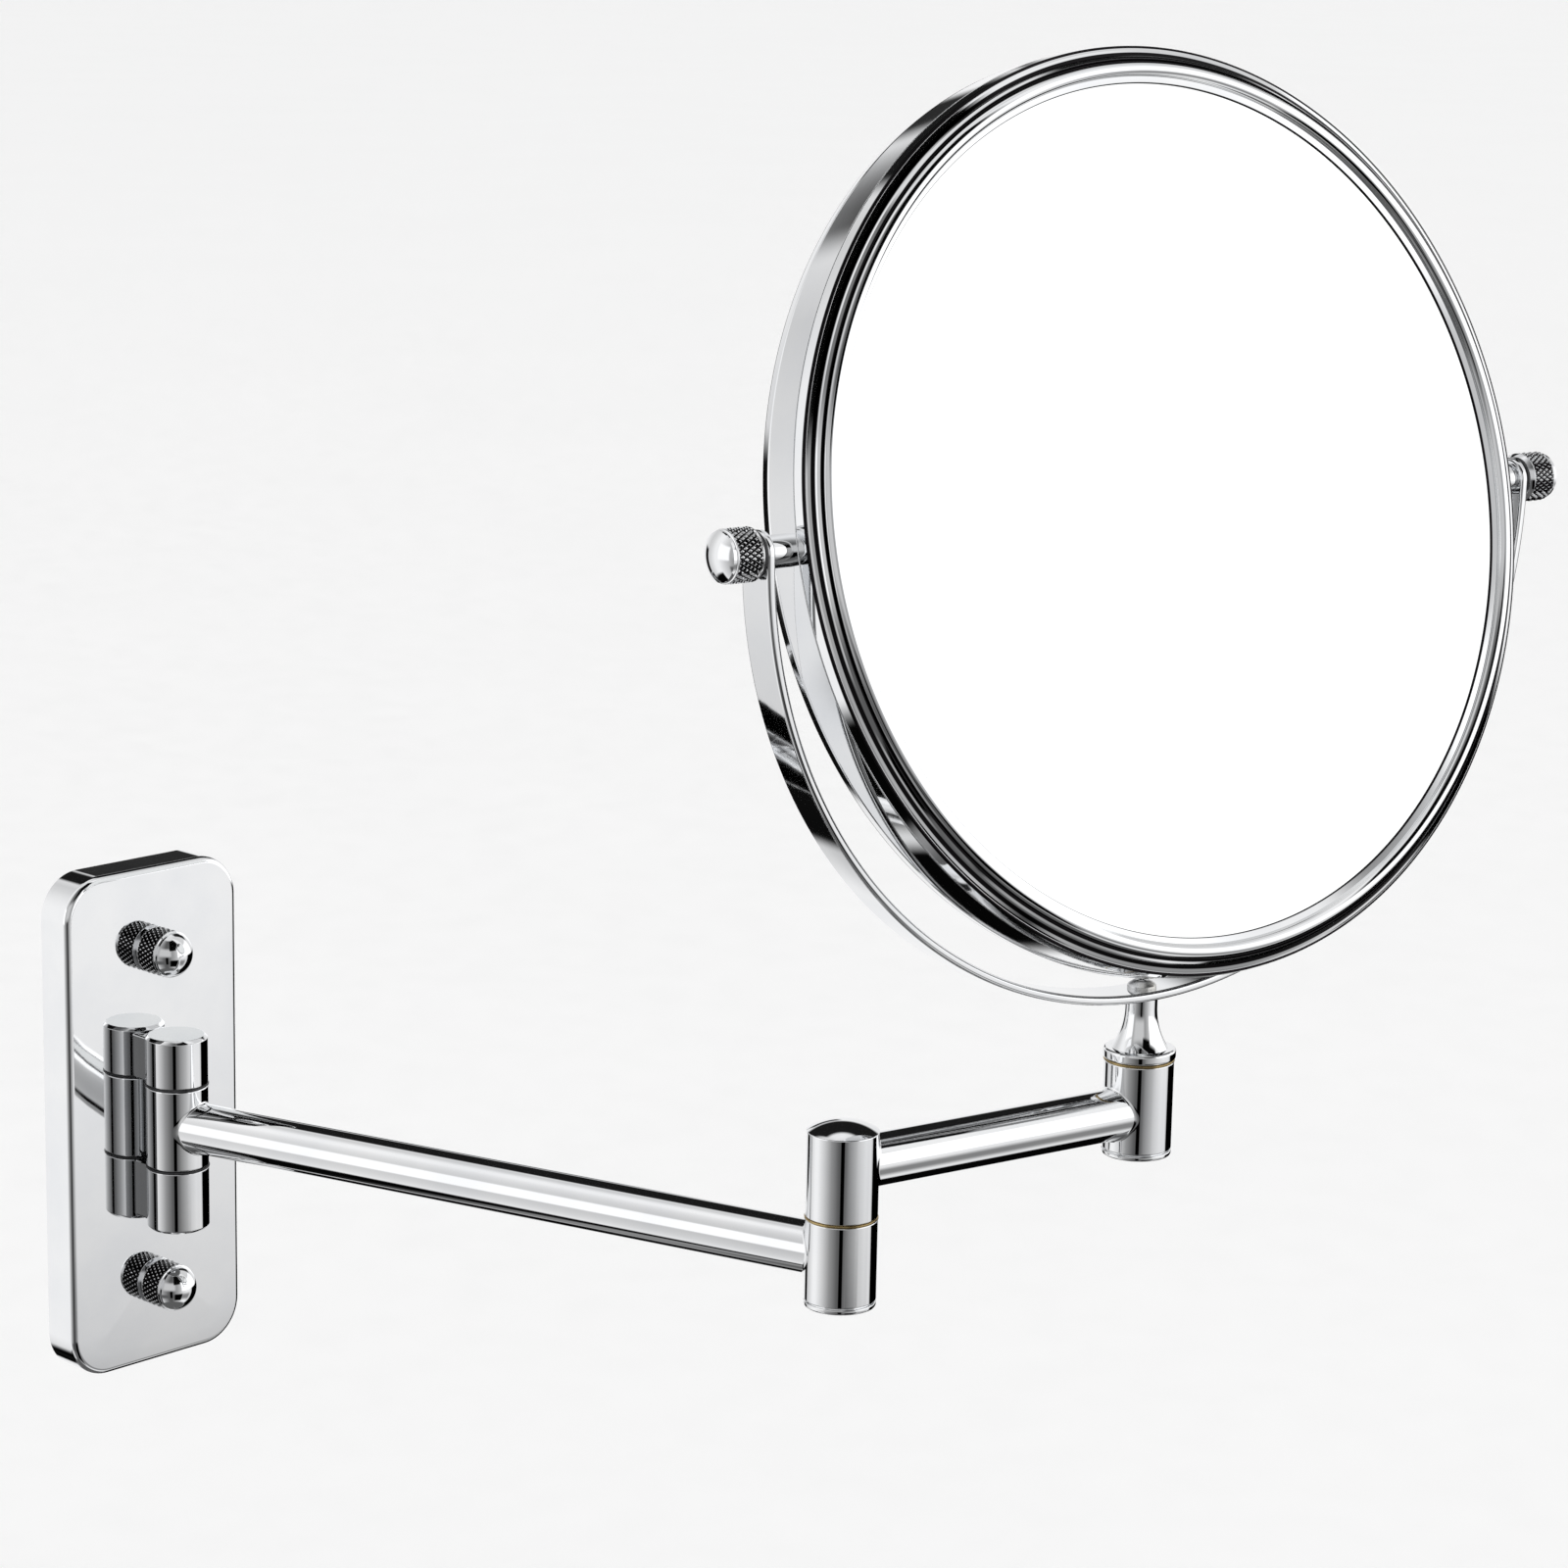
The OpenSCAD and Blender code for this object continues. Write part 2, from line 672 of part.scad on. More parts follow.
module yoke_ring() {
    color(chrome) at_stem() translate([0, 0, head_z]) difference() {
        union() {
            rotate([-90, 0, 0]) rotate_extrude(angle = 180, $fn = 360)
                translate([yoke_in_r, -yoke_w / 2]) square([yoke_t, yoke_w]);
            for (side = [-1, 1]) rotate([0, side * 90, 0]) translate([0, 0, yoke_in_r])
                cylinder(r = eye_r, h = yoke_t);
        }
        for (side = [-1, 1]) rotate([0, side * 90, 0]) translate([0, 0, yoke_in_r - cut])
            cylinder(r = pivot_r + running, h = yoke_t + 2 * cut);
        translate([0, 0, -yoke_out_r - cut])
            cylinder(r = yoke_screw_d / 2 + screw_clearance, h = yoke_t + 2 * cut);
    }
}

module yoke_screw() {
    seat = -yoke_in_r;
    color(steel) at_stem() translate([0, 0, head_z]) intersection() {
        union() {
            translate([0, 0, seat - yoke_t - stem_thread_l + cut])
                cylinder(d = yoke_screw_d, h = yoke_t + stem_thread_l);
            translate([0, 0, seat]) cylinder(r = yoke_screw_head_r, h = yoke_screw_head_h);
        }
        union() {
            rotate([90, 0, 0])
                cylinder(r = yoke_in_r, h = 2 * yoke_w, center = true, $fn = 360);
            translate([0, 0, seat - 2 * stem_h])
                cylinder(d = yoke_screw_d, h = 2 * stem_h + cut);
        }
    }
}

module pivot_washer(side) {
    color(dark) at_stem() translate([0, 0, head_z]) rotate([0, side * 90, 0])
        translate([0, 0, yoke_out_r]) tube(eye_r, pivot_r + running, pivot_washer_t);
}

module left_pivot_washer() pivot_washer(-1);

module right_pivot_washer() pivot_washer(1);

// ---- Mirror head ----

module rim_band() {
    ring_h = band_w - 2 * bezel_lip_h;
    color(chrome) at_head() difference() {
        translate([0, 0, -ring_h / 2]) rotate_extrude($fn = 360)
            translate([band_in_r, 0]) square([band_t, ring_h]);
        rotate([0, 90, 0]) cylinder(r = pivot_r, h = head_d + cut, center = true);
    }
}

// Section of one bezel, from its lip on the glass over the bead to its skirt inside the band
module bezel_section() {
    edge = band_w / 2;
    bead_z = bead_face - bead_r;
    skirt_r = band_in_r - slip;
    skirt_z = edge - bezel_lip_h - bezel_skirt_l;
    polygon(concat(
        [[glass_open_r, glass_face]],
        [for (a = [180 : -bead_step : 0])
            [bead_mid_r + bead_r * cos(a), bead_z + bead_r * sin(a)]],
        [[bead_mid_r + bead_r + groove_w, bead_z + groove_rise]],
        [for (p = cove) [head_r - p[0], edge + p[1]]],
        [[head_r - bezel_edge, edge],
            [head_r, edge - bezel_edge],
            [head_r, edge - bezel_lip_h],
            [skirt_r, edge - bezel_lip_h],
            [skirt_r, skirt_z],
            [skirt_r - bezel_t, skirt_z],
            [skirt_r - bezel_t, edge - bezel_t],
            [glass_r + screw_clearance, glass_face]]));
}

module front_bezel() {
    color(chrome) at_head() rotate_extrude($fn = 360) bezel_section();
}

module rear_bezel() {
    color(chrome) at_head() rotate([180, 0, 0]) rotate_extrude($fn = 360) bezel_section();
}

module front_glass() {
    color(silver) at_head() translate([0, 0, front_glass_back])
        cylinder(r = glass_r, h = front_glass_t, $fn = 360);
}

// Half section of everything on the glass side of a dished surface
module dish_section(radius) {
    intersection() {
        translate([0, glass_face + lens_mid]) circle(radius, $fn = 3600);
        translate([0, -glass_face]) square([lens_edge_r, 2 * glass_face]);
    }
}

module rear_glass() {
    color(silver) at_head() rotate([180, 0, 0]) rotate_extrude($fn = 360) {
        translate([lens_edge_r, rear_glass_back]) square([glass_r - lens_edge_r, rear_glass_t]);
        difference() {
            dish_section(magnifier_r + rear_glass_t);
            dish_section(magnifier_r);
        }
    }
}

module front_pad() {
    color(foam) at_head() translate([0, 0, core_front])
        cylinder(r = glass_r - screw_clearance, h = pad_t, $fn = 360);
}

module rear_pad() {
    color(foam) at_head() translate([0, 0, -rear_glass_back])
        tube(glass_r - screw_clearance, lens_edge_r + screw_clearance, pad_t, $fn = 360);
}

module core_disc() {
    ring_in_r = glass_r - core_ring_w;
    color(plastic) at_head() {
        translate([0, 0, core_front - core_web]) cylinder(r = glass_r, h = core_web, $fn = 360);
        translate([0, 0, -core_rear])
            tube(glass_r, ring_in_r, core_front + core_rear, $fn = 360);
        rotate([180, 0, 0]) difference() {
            for (i = [0 : core_rib_count - 1]) rotate(i * 360 / core_rib_count)
                translate([core_hub_r, -core_rib / 2, -core_front + core_web / 2])
                    cube([ring_in_r + 1 - core_hub_r, core_rib, core_front + core_rear]);
            rotate_extrude($fn = 360) dish_section(magnifier_r + rear_glass_t + dish_gap);
            translate([0, 0, core_rear]) cylinder(r = glass_r, h = pad_t + cut);
        }
    }
}

module pivot_stud(side) {
    start = nut_seat - pivot_nut_h - stud_past_nut;
    color(steel) at_pivot(side) translate([0, 0, start])
        cylinder(r = pivot_r, h = thumb_nut_u + thumb_nut_l * stud_reach - start);
}

module left_pivot_stud() pivot_stud(-1);

module right_pivot_stud() pivot_stud(1);

module pivot_nuts() {
    color(steel) for (side = [-1, 1]) at_pivot(side)
        translate([0, 0, nut_seat - pivot_nut_h]) difference() {
            hex(pivot_nut_flats, pivot_nut_h);
            translate([0, 0, -cut]) cylinder(r = pivot_r, h = pivot_nut_h + 2 * cut);
        }
}

module pivot_spacer(side) {
    start = head_r - cut;
    color(chrome) difference() {
        at_pivot(side) translate([0, 0, start])
            tube(spacer_d / 2, pivot_r, yoke_in_r - pivot_end_gap - start);
        at_head() cylinder(r = head_r, h = 2 * spacer_d, center = true, $fn = 360);
    }
}

module left_spacer() pivot_spacer(-1);

module right_spacer() pivot_spacer(1);

module thumb_nut(side) {
    color(chrome) at_pivot(side) translate([0, 0, thumb_nut_u])
        domed_nut(thumb_nut_d, thumb_nut_l, thumb_nut_d * thumb_nut_dome, pivot_r + running,
            thumb_nut_l * bore_reach);
}

module left_thumb_nut() thumb_nut(-1);

module right_thumb_nut() thumb_nut(1);

wall_bracket();
cover_studs();
wall_cover();
upper_cap_nut();
lower_cap_nut();
backing_plate();
upper_hinge_lug();
lower_hinge_lug();
lug_screws();
hinge_pin();
hinge_washers();
arm_1_knuckle();
arm_1_tube();
elbow_lower_barrel();
elbow_bottom_cap();
elbow_washer();
elbow_upper_barrel();
elbow_top_cap();
elbow_bolt();
elbow_spring_washers();
elbow_lock_nut();
arm_2_tube();
end_barrel();
end_bottom_cap();
swivel_washer();
swivel_stem();
swivel_spring_washers();
swivel_lock_nut();
yoke_ring();
yoke_screw();
left_pivot_washer();
right_pivot_washer();
rim_band();
front_bezel();
rear_bezel();
front_glass();
rear_glass();
front_pad();
rear_pad();
core_disc();
left_pivot_stud();
right_pivot_stud();
pivot_nuts();
left_spacer();
right_spacer();
left_thumb_nut();
right_thumb_nut();
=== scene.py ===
import json
import math

import bmesh
import bpy
from mathutils import Matrix, Vector


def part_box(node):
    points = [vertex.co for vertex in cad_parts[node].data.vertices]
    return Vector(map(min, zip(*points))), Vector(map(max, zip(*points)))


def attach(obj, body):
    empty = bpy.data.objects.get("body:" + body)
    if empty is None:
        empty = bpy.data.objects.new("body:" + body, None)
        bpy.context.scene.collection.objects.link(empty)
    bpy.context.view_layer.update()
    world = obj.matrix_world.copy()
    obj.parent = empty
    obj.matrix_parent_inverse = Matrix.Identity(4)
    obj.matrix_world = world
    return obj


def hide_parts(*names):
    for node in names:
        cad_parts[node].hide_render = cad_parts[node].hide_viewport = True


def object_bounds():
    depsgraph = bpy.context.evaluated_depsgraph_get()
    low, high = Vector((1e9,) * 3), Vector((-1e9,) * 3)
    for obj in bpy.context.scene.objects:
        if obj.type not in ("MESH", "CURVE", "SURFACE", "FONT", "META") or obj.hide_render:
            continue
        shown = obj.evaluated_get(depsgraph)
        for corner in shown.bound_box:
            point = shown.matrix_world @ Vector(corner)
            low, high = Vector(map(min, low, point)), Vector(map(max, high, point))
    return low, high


# Extendable shaving mirror: chromed wall plate, two swinging arms, half-ring yoke, round two-sided head

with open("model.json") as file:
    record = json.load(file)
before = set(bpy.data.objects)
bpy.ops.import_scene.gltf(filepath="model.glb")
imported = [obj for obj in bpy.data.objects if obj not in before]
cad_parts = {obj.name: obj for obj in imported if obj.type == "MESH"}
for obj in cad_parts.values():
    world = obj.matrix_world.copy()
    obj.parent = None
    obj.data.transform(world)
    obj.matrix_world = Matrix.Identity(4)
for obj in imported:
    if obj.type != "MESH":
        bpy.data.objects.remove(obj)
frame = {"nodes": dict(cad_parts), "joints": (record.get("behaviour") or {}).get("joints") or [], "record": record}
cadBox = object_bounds()

nodes = frame["nodes"]
joints = {j["name"]: j for j in frame["joints"]}
slotOf = {s["node"]: s["material_slot"] for s in frame["record"]["subparts"]}
bodyOf = {n: b for b, names in frame["record"]["behaviour"]["bodies"].items() for n in names}
mm = 0.001
up = Vector((0, 0, 1))
alongWall = Vector((1, 0, 0))
outOfWall = Vector((0, -1, 0))


# measuring the frame

def jointPoint(name):
    return Vector(joints[name]["pos_m"])


def jointAxis(name):
    return Vector(joints[name]["axis"]).normalized()


# lowest and highest reach of a node along a direction, from a point
def reach(node, start, along):
    steps = [(v.co - start).dot(along) for v in nodes[node].data.vertices]
    return min(steps), max(steps)


# largest distance of a node from an axis
def girth(node, start, axis):
    return max(((v.co - start) - axis * (v.co - start).dot(axis)).length for v in nodes[node].data.vertices)


# a frame of its own for a piece: x and z given, y follows
def standing(origin, x, z):
    z = z.normalized()
    x = (x - z * x.dot(z)).normalized()
    y = z.cross(x)
    m = Matrix((x, y, z)).transposed().to_4x4()
    m.translation = origin
    return m


hinge = jointPoint("wall_hinge")
elbow = jointPoint("elbow")
stem = jointPoint("swivel")
head = jointPoint("tilt")
pivotLine = jointAxis("tilt")

armOneWay = Vector((elbow.x - hinge.x, elbow.y - hinge.y, 0)).normalized()
armTwoWay = Vector((stem.x - elbow.x, stem.y - elbow.y, 0)).normalized()
glassLow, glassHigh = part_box("front_glass")
faceWay = ((glassLow + glassHigh) / 2 - head).normalized()

elbowFrame = standing(Vector((elbow.x, elbow.y, 0)), armTwoWay, up)
stemFrame = standing(Vector((stem.x, stem.y, 0)), pivotLine, up)
headFrame = standing(head, pivotLine, faceWay)
wallFrame = standing(Vector((0, 0, 0)), alongWall, outOfWall)
print("frame measured")


# making meshes

def addMesh(name, verts, faces, place, sharp=32):
    mesh = bpy.data.meshes.new(name)
    mesh.from_pydata([tuple(v) for v in verts], [], faces)
    bm = bmesh.new()
    bm.from_mesh(mesh)
    bmesh.ops.remove_doubles(bm, verts=bm.verts, dist=1e-7)
    bmesh.ops.recalc_face_normals(bm, faces=bm.faces)
    bm.to_mesh(mesh)
    bm.free()
    mesh.shade_smooth()
    mesh.set_sharp_from_angle(angle=math.radians(sharp))
    piece = bpy.data.objects.new(name, mesh)
    bpy.context.scene.collection.objects.link(piece)
    piece.matrix_world = place
    return piece


# a corner list of (r, z, fillet) turned into a smooth outline; closed ones run back to the start
def filleted(corners, closed=False, arcSteps=6):
    out = []
    count = len(corners)
    for i, corner in enumerate(corners):
        p = Vector(corner[:2])
        radius = corner[2] if len(corner) > 2 else 0
        if radius <= 0 or (not closed and i in (0, count - 1)):
            out.append(tuple(p))
            continue
        a = Vector(corners[i - 1][:2]) - p
        b = Vector(corners[(i + 1) % count][:2]) - p
        opening = a.angle(b)
        trim = min(radius / math.tan(opening / 2), a.length * 0.49, b.length * 0.49)
        r = trim * math.tan(opening / 2)
        middle = p + (a.normalized() + b.normalized()).normalized() * (r / math.sin(opening / 2))
        fromArm = p + a.normalized() * trim - middle
        toArm = p + b.normalized() * trim - middle
        turn = fromArm.angle_signed(toArm)
        steps = max(2, round(arcSteps * abs(turn) / (math.pi / 2)))
        for k in range(steps + 1):
            c, s = math.cos(-turn * k / steps), math.sin(-turn * k / steps)
            out.append((middle.x + c * fromArm.x - s * fromArm.y, middle.y + s * fromArm.x + c * fromArm.y))
    return out


# points on an arc about (x, y)
def arc(x, y, radius, startDeg, endDeg, steps):
    turns = [math.radians(startDeg + (endDeg - startDeg) * k / steps) for k in range(steps + 1)]
    return [(x + radius * math.cos(t), y + radius * math.sin(t)) for t in turns]


# verts and faces of an outline spun round z
def spin(outline, around=128, closed=False):
    verts, faces, rings = [], [], []
    for r, z in outline:
        if r < 1e-8:
            rings.append([len(verts)])
            verts.append((0, 0, z))
        else:
            rings.append(list(range(len(verts), len(verts) + around)))
            for k in range(around):
                t = 2 * math.pi * k / around
                verts.append((r * math.cos(t), r * math.sin(t), z))
    pairs = list(zip(rings, rings[1:]))
    if closed:
        pairs.append((rings[-1], rings[0]))
    for a, b in pairs:
        for k in range(around):
            n = (k + 1) % around
            face = [a[k % len(a)], a[n % len(a)], b[n % len(b)], b[k % len(b)]]
            face = [v for i, v in enumerate(face) if v not in face[:i]]
            if len(face) > 2:
                faces.append(face)
    return verts, faces


def joined(*parts):
    verts, faces = [], []
    for v, f in parts:
        base = len(verts)
        verts += v
        faces += [[base + i for i in face] for face in f]
    return verts, faces


def moved(part, place):
    verts, faces = part
    return [tuple(place @ Vector(v)) for v in verts], faces


# diamond knurl round z: one flat-topped pyramid per diamond, as a closed sleeve
def knurl(rTop, rValley, z0, z1, setup):
    diamonds, tip = setup["diamonds"], setup["flat"]
    across = 2 * math.pi * rTop / diamonds
    rows = max(2, round((z1 - z0) / (across * setup["slender"])))      # full diamonds along the nut
    verts, faces = [], []

    def point(i, j, r):
        t = math.pi * i / diamonds
        verts.append((r * math.cos(t), r * math.sin(t), z0 + (z1 - z0) * j / (2 * rows)))
        return len(verts) - 1

    cells = [(i, j) for j in range(2 * rows + 1) for i in range(2 * diamonds)]
    valleys = {(i, j): point(i, j, rValley) for i, j in cells if (i + j) % 2 == 0}
    for i, j in cells:
        if (i, j) in valleys:
            continue
        # the valley's corner and the flat's corner on each side of a diamond, none past the sleeve's ends
        sides = []
        for a, b in ((i + 1, j), (i, j + 1), (i - 1, j), (i, j - 1)):
            if 0 <= b <= 2 * rows:
                flatCorner = point(i + (a - i) * tip, j + (b - j) * tip, rTop)
                sides.append((valleys[a % (2 * diamonds), b], flatCorner))
            else:
                sides.append(None)
        if None in sides:
            # half a diamond, whose cut side stands straight up at the sleeve's end
            cut = sides.index(None)
            sides = sides[cut + 1:] + sides[:cut]
            middle = point(i, j, rTop)
            faces.append([sides[2][0], sides[2][1], middle, sides[0][1], sides[0][0]])
            faces.append([middle] + [corner for valley, corner in sides])
            slopes = zip(sides, sides[1:])
        else:
            faces.append([corner for valley, corner in sides])
            slopes = zip(sides, sides[1:] + sides[:1])
        for a, b in slopes:
            faces.append([a[0], b[0], b[1], a[1]])
    return verts, faces


# verts and faces of a solid skinned over rings of points, closed at both ends
def skinned(rings):
    n = len(rings[0])
    verts = [v for ring in rings for v in ring]
    faces = [list(range(n))[::-1], list(range(len(verts) - n, len(verts)))]
    for a in range(0, len(verts) - n, n):
        faces += [[a + k, a + (k + 1) % n, a + n + (k + 1) % n, a + n + k] for k in range(n)]
    return verts, faces


# upright block on an outline
def prism(outline, z0, z1):
    return skinned([[(x, y, z) for x, y in outline] for z in (z0, z1)])


# points of a shallow dome on an arc, from its rim to its top
def domeArc(r, crown, top, steps):
    ballR = (r ** 2 + crown ** 2) / (2 * crown)
    spread = math.asin(r / ballR)
    turns = [spread * k / steps for k in range(steps, 0, -1)]
    return [(ballR * math.sin(t), top - ballR + ballR * math.cos(t)) for t in turns] + [(0, top)]


# a curve with holes in its own plane, given thickness and a small bevel, as a mesh
def punchedPlate(name, outlines, thickness, bevel, place):
    curve = bpy.data.curves.new(name, "CURVE")
    curve.dimensions = "2D"
    curve.fill_mode = "BOTH"
    curve.extrude = thickness / 2 - bevel
    curve.bevel_depth = bevel
    curve.bevel_resolution = 2
    curve.offset = -bevel
    for outline in outlines:
        spline = curve.splines.new("POLY")
        spline.points.add(len(outline) - 1)
        for p, (x, y) in zip(spline.points, outline):
            p.co = (x, y, 0, 1)
        spline.use_cyclic_u = True
    holder = bpy.data.objects.new(name + "Curve", curve)
    bpy.context.scene.collection.objects.link(holder)
    bpy.context.view_layer.update()
    mesh = bpy.data.meshes.new_from_object(holder.evaluated_get(bpy.context.evaluated_depsgraph_get()))
    bpy.data.objects.remove(holder)
    bpy.data.curves.remove(curve)
    verts = [tuple(v.co) for v in mesh.vertices]
    faces = [list(p.vertices) for p in mesh.polygons]
    bpy.data.meshes.remove(mesh)
    return addMesh(name, verts, faces, place)


def roundedRect(w, h, r, steps=10):
    out = []
    for x, y, start in ((1, 1, 0), (-1, 1, 90), (-1, -1, 180), (1, -1, 270)):
        out += arc(x * (w / 2 - r), y * (h / 2 - r), r, start, start + 90, steps)
    return out


def slotOutline(w, h, y, steps=12):
    return arc(0, y + (h - w) / 2, w / 2, 0, 180, steps) + arc(0, y - (h - w) / 2, w / 2, 180, 360, steps)


# pan head with a cross recess, along z from its seat
def crossHead(name, s, place):
    r, h = s["headR"], s["headH"]
    profile = filleted([(0, -s["shaftL"]), (s["shaftR"], -s["shaftL"], 0.3 * mm), (s["shaftR"], 0),
                        (r, 0, 0.1 * mm), (r, h * 0.45, h * 0.45), (r * 0.55, h, h), (0, h)])
    piece = addMesh(name, *spin(profile, 64), place)
    halfL, halfW = r * 0.5, r * 0.09      # of one arm of the cross
    recess = prism([(-halfL, halfW), (-halfL, -halfW), (halfL, -halfW), (halfL, halfW)], h * 0.35, h * 1.5)
    for turn in (0, 90):
        cutter = addMesh("recess", *recess, place @ Matrix.Rotation(math.radians(turn), 4, "Z"))
        boolean = piece.modifiers.new("recess", "BOOLEAN")
        boolean.operation = "DIFFERENCE"
        boolean.object = cutter
        bake(piece)
        bpy.data.objects.remove(cutter)
    piece.data.set_sharp_from_angle(angle=math.radians(32))
    return piece


# applies what the modifiers make
def bake(piece):
    bpy.context.view_layer.update()
    mesh = bpy.data.meshes.new_from_object(piece.evaluated_get(bpy.context.evaluated_depsgraph_get()))
    piece.modifiers.clear()
    piece.data = mesh


# materials

def nodeTree(name):
    mat = bpy.data.materials.new(name)
    mat.use_nodes = True
    return mat, mat.node_tree, mat.node_tree.nodes["Principled BSDF"]


def noise(tree, scale, detail=3.0, rough=0.5, stretch=None):
    coords = tree.nodes.new("ShaderNodeTexCoord")
    tex = tree.nodes.new("ShaderNodeTexNoise")
    tex.inputs["Scale"].default_value = scale
    tex.inputs["Detail"].default_value = detail
    tex.inputs["Roughness"].default_value = rough
    if stretch:
        mapping = tree.nodes.new("ShaderNodeMapping")
        mapping.inputs["Scale"].default_value = stretch
        tree.links.new(coords.outputs["Object"], mapping.inputs["Vector"])
        tree.links.new(mapping.outputs["Vector"], tex.inputs["Vector"])
    else:
        tree.links.new(coords.outputs["Object"], tex.inputs["Vector"])
    return tex.outputs["Fac"]


def mapped(tree, value, low, high, fromLow=0.3, fromHigh=0.7):
    node = tree.nodes.new("ShaderNodeMapRange")
    node.inputs["From Min"].default_value = fromLow
    node.inputs["From Max"].default_value = fromHigh
    node.inputs["To Min"].default_value = low
    node.inputs["To Max"].default_value = high
    tree.links.new(value, node.inputs["Value"])
    return node.outputs["Result"]


def tinted(tree, value, first, second):
    ramp = tree.nodes.new("ShaderNodeValToRGB")
    ramp.color_ramp.elements[0].position = 0.35
    ramp.color_ramp.elements[0].color = (*first, 1)
    ramp.color_ramp.elements[1].position = 0.65
    ramp.color_ramp.elements[1].color = (*second, 1)
    tree.links.new(value, ramp.inputs["Fac"])
    return ramp.outputs["Color"]


def bumped(tree, shader, value, strength, distance):
    bump = tree.nodes.new("ShaderNodeBump")
    bump.inputs["Strength"].default_value = strength
    bump.inputs["Distance"].default_value = distance
    tree.links.new(value, bump.inputs["Height"])
    tree.links.new(bump.outputs["Normal"], shader.inputs["Normal"])


# a maths node fed by numbers or sockets
def calc(tree, kind, *values):
    node = tree.nodes.new("ShaderNodeMath")
    node.operation = kind
    for socket, value in zip(node.inputs, values):
        if isinstance(value, (int, float)):
            socket.default_value = value
        else:
            tree.links.new(value, socket)
    return node.outputs[0]


# mixes two colours, or a colour and what a socket gives
def mix(tree, share, first, second):
    node = tree.nodes.new("ShaderNodeMix")
    node.data_type = "RGBA"
    for name, kind, value in (("Factor", "VALUE", share), ("A", "RGBA", first), ("B", "RGBA", second)):
        socket = [s for s in node.inputs if s.name == name and s.type == kind][0]
        if isinstance(value, tuple):
            socket.default_value = value
        else:
            tree.links.new(value, socket)
    return [s for s in node.outputs if s.type == "RGBA"][0]


# 1 between two values, 0 outside them
def between(tree, value, low, high, soft):
    lowSide = mapped(tree, value, 0, 1, low - soft, low + soft)
    highSide = mapped(tree, value, 1, 0, high - soft, high + soft)
    return calc(tree, "MULTIPLY", lowSide, highSide)


# Each finish is made from a dictionary. A noise is (scale, detail, roughness, stretch), the last two as
# wanted, and a relief is (strength, height). Tone, roughness and relief each follow a noise of their own.
def makeFinish(name, f):
    mat, tree, shader = nodeTree(name)
    shader.inputs["Metallic"].default_value = f["metal"]
    tone = tinted(tree, noise(tree, *f["toneNoise"]), *f["tones"])
    tree.links.new(tone, shader.inputs["Base Color"])
    tree.links.new(mapped(tree, noise(tree, *f["roughNoise"]), *f["rough"]), shader.inputs["Roughness"])
    if "relief" in f:
        bumped(tree, shader, noise(tree, *f["reliefNoise"]), *f["relief"])
    return mat


chrome = {
    "metal": 1,
    "tones": ((0.85, 0.86, 0.875), (0.9, 0.905, 0.91)),
    "toneNoise": (55, 4),
    "rough": (0.02, 0.055),
    "roughNoise": (120, 6, 0.65, (1, 1, 0.25)),
    "relief": (0.08, 0.03 * mm),
    "reliefNoise": (260, 2),
    # painted shade: the near-black painted into chrome hollows for shade and dark reflections, and how soft its
    # edge is
    "paintedShade": (0.012, 0.011, 0.012, 1),
    "paintedShadeEdge": 0.05 * mm,
}


# bright chrome plate: near-perfect mirror with faint wiping marks and plating ripple.
# the rings given are round the piece's own z and painted near-black as shade and dark reflection in its hollows,
# as (r from, r to, z from, z to)
def polishedChrome(name="polishedChrome", shadeRings=()):
    mat = makeFinish(name, chrome)
    if not shadeRings:
        return mat
    tree = mat.node_tree
    colour = tree.nodes["Principled BSDF"].inputs["Base Color"]
    tone = colour.links[0].from_socket
    coords = tree.nodes.new("ShaderNodeTexCoord")
    parts = tree.nodes.new("ShaderNodeSeparateXYZ")
    tree.links.new(coords.outputs["Object"], parts.inputs[0])
    squares = [calc(tree, "POWER", calc(tree, "ABSOLUTE", parts.outputs[k]), 2.0) for k in ("X", "Y")]
    r = calc(tree, "SQRT", calc(tree, "ADD", *squares))
    z = calc(tree, "ABSOLUTE", parts.outputs["Z"])
    # each ring paints the chrome near-black where shade and dark reflections fall
    for rLow, rHigh, zLow, zHigh in shadeRings:
        across = between(tree, r, rLow, rHigh, chrome["paintedShadeEdge"])
        along = between(tree, z, zLow, zHigh, chrome["paintedShadeEdge"])
        tone = mix(tree, calc(tree, "MULTIPLY", across, along), tone, chrome["paintedShade"])
    tree.links.new(tone, colour)
    return mat


# zinc plate: satin, with a faint blue-yellow drift and a fine grain
zinc = {
    "metal": 1,
    "tones": ((0.6, 0.615, 0.65), (0.7, 0.69, 0.655)),
    "toneNoise": (90, 5),
    "rough": (0.24, 0.42),
    "roughNoise": (900, 4),
    "relief": (0.25, 0.04 * mm),
    "reliefNoise": (1800, 3),
}

# turned brass, with rings from the tool and a duller stain
brass = {
    "metal": 1,
    "tones": ((0.32, 0.23, 0.1), (0.5, 0.38, 0.18)),
    "toneNoise": (240, 4),
    "rough": (0.16, 0.34),
    "roughNoise": (500, 5),
    "relief": (0.2, 0.04 * mm),
    "reliefNoise": (900, 3, 0.5, (0.2, 0.2, 4)),
}

# moulded black nylon
nylon = {
    "metal": 0,
    "tones": ((0.012, 0.012, 0.014), (0.03, 0.03, 0.032)),
    "toneNoise": (300, 3),
    "rough": (0.35, 0.5),
    "roughNoise": (700, 3),
    "relief": (0.3, 0.04 * mm),
    "reliefNoise": (1500, 3),
}

# moulded off-white plastic with a spark-eroded grain
plastic = {
    "metal": 0,
    "tones": ((0.72, 0.72, 0.69), (0.78, 0.775, 0.75)),
    "toneNoise": (25, 3),
    "rough": (0.42, 0.58),
    "roughNoise": (600, 3),
    "relief": (0.35, 0.05 * mm),
    "reliefNoise": (2400, 2),
}

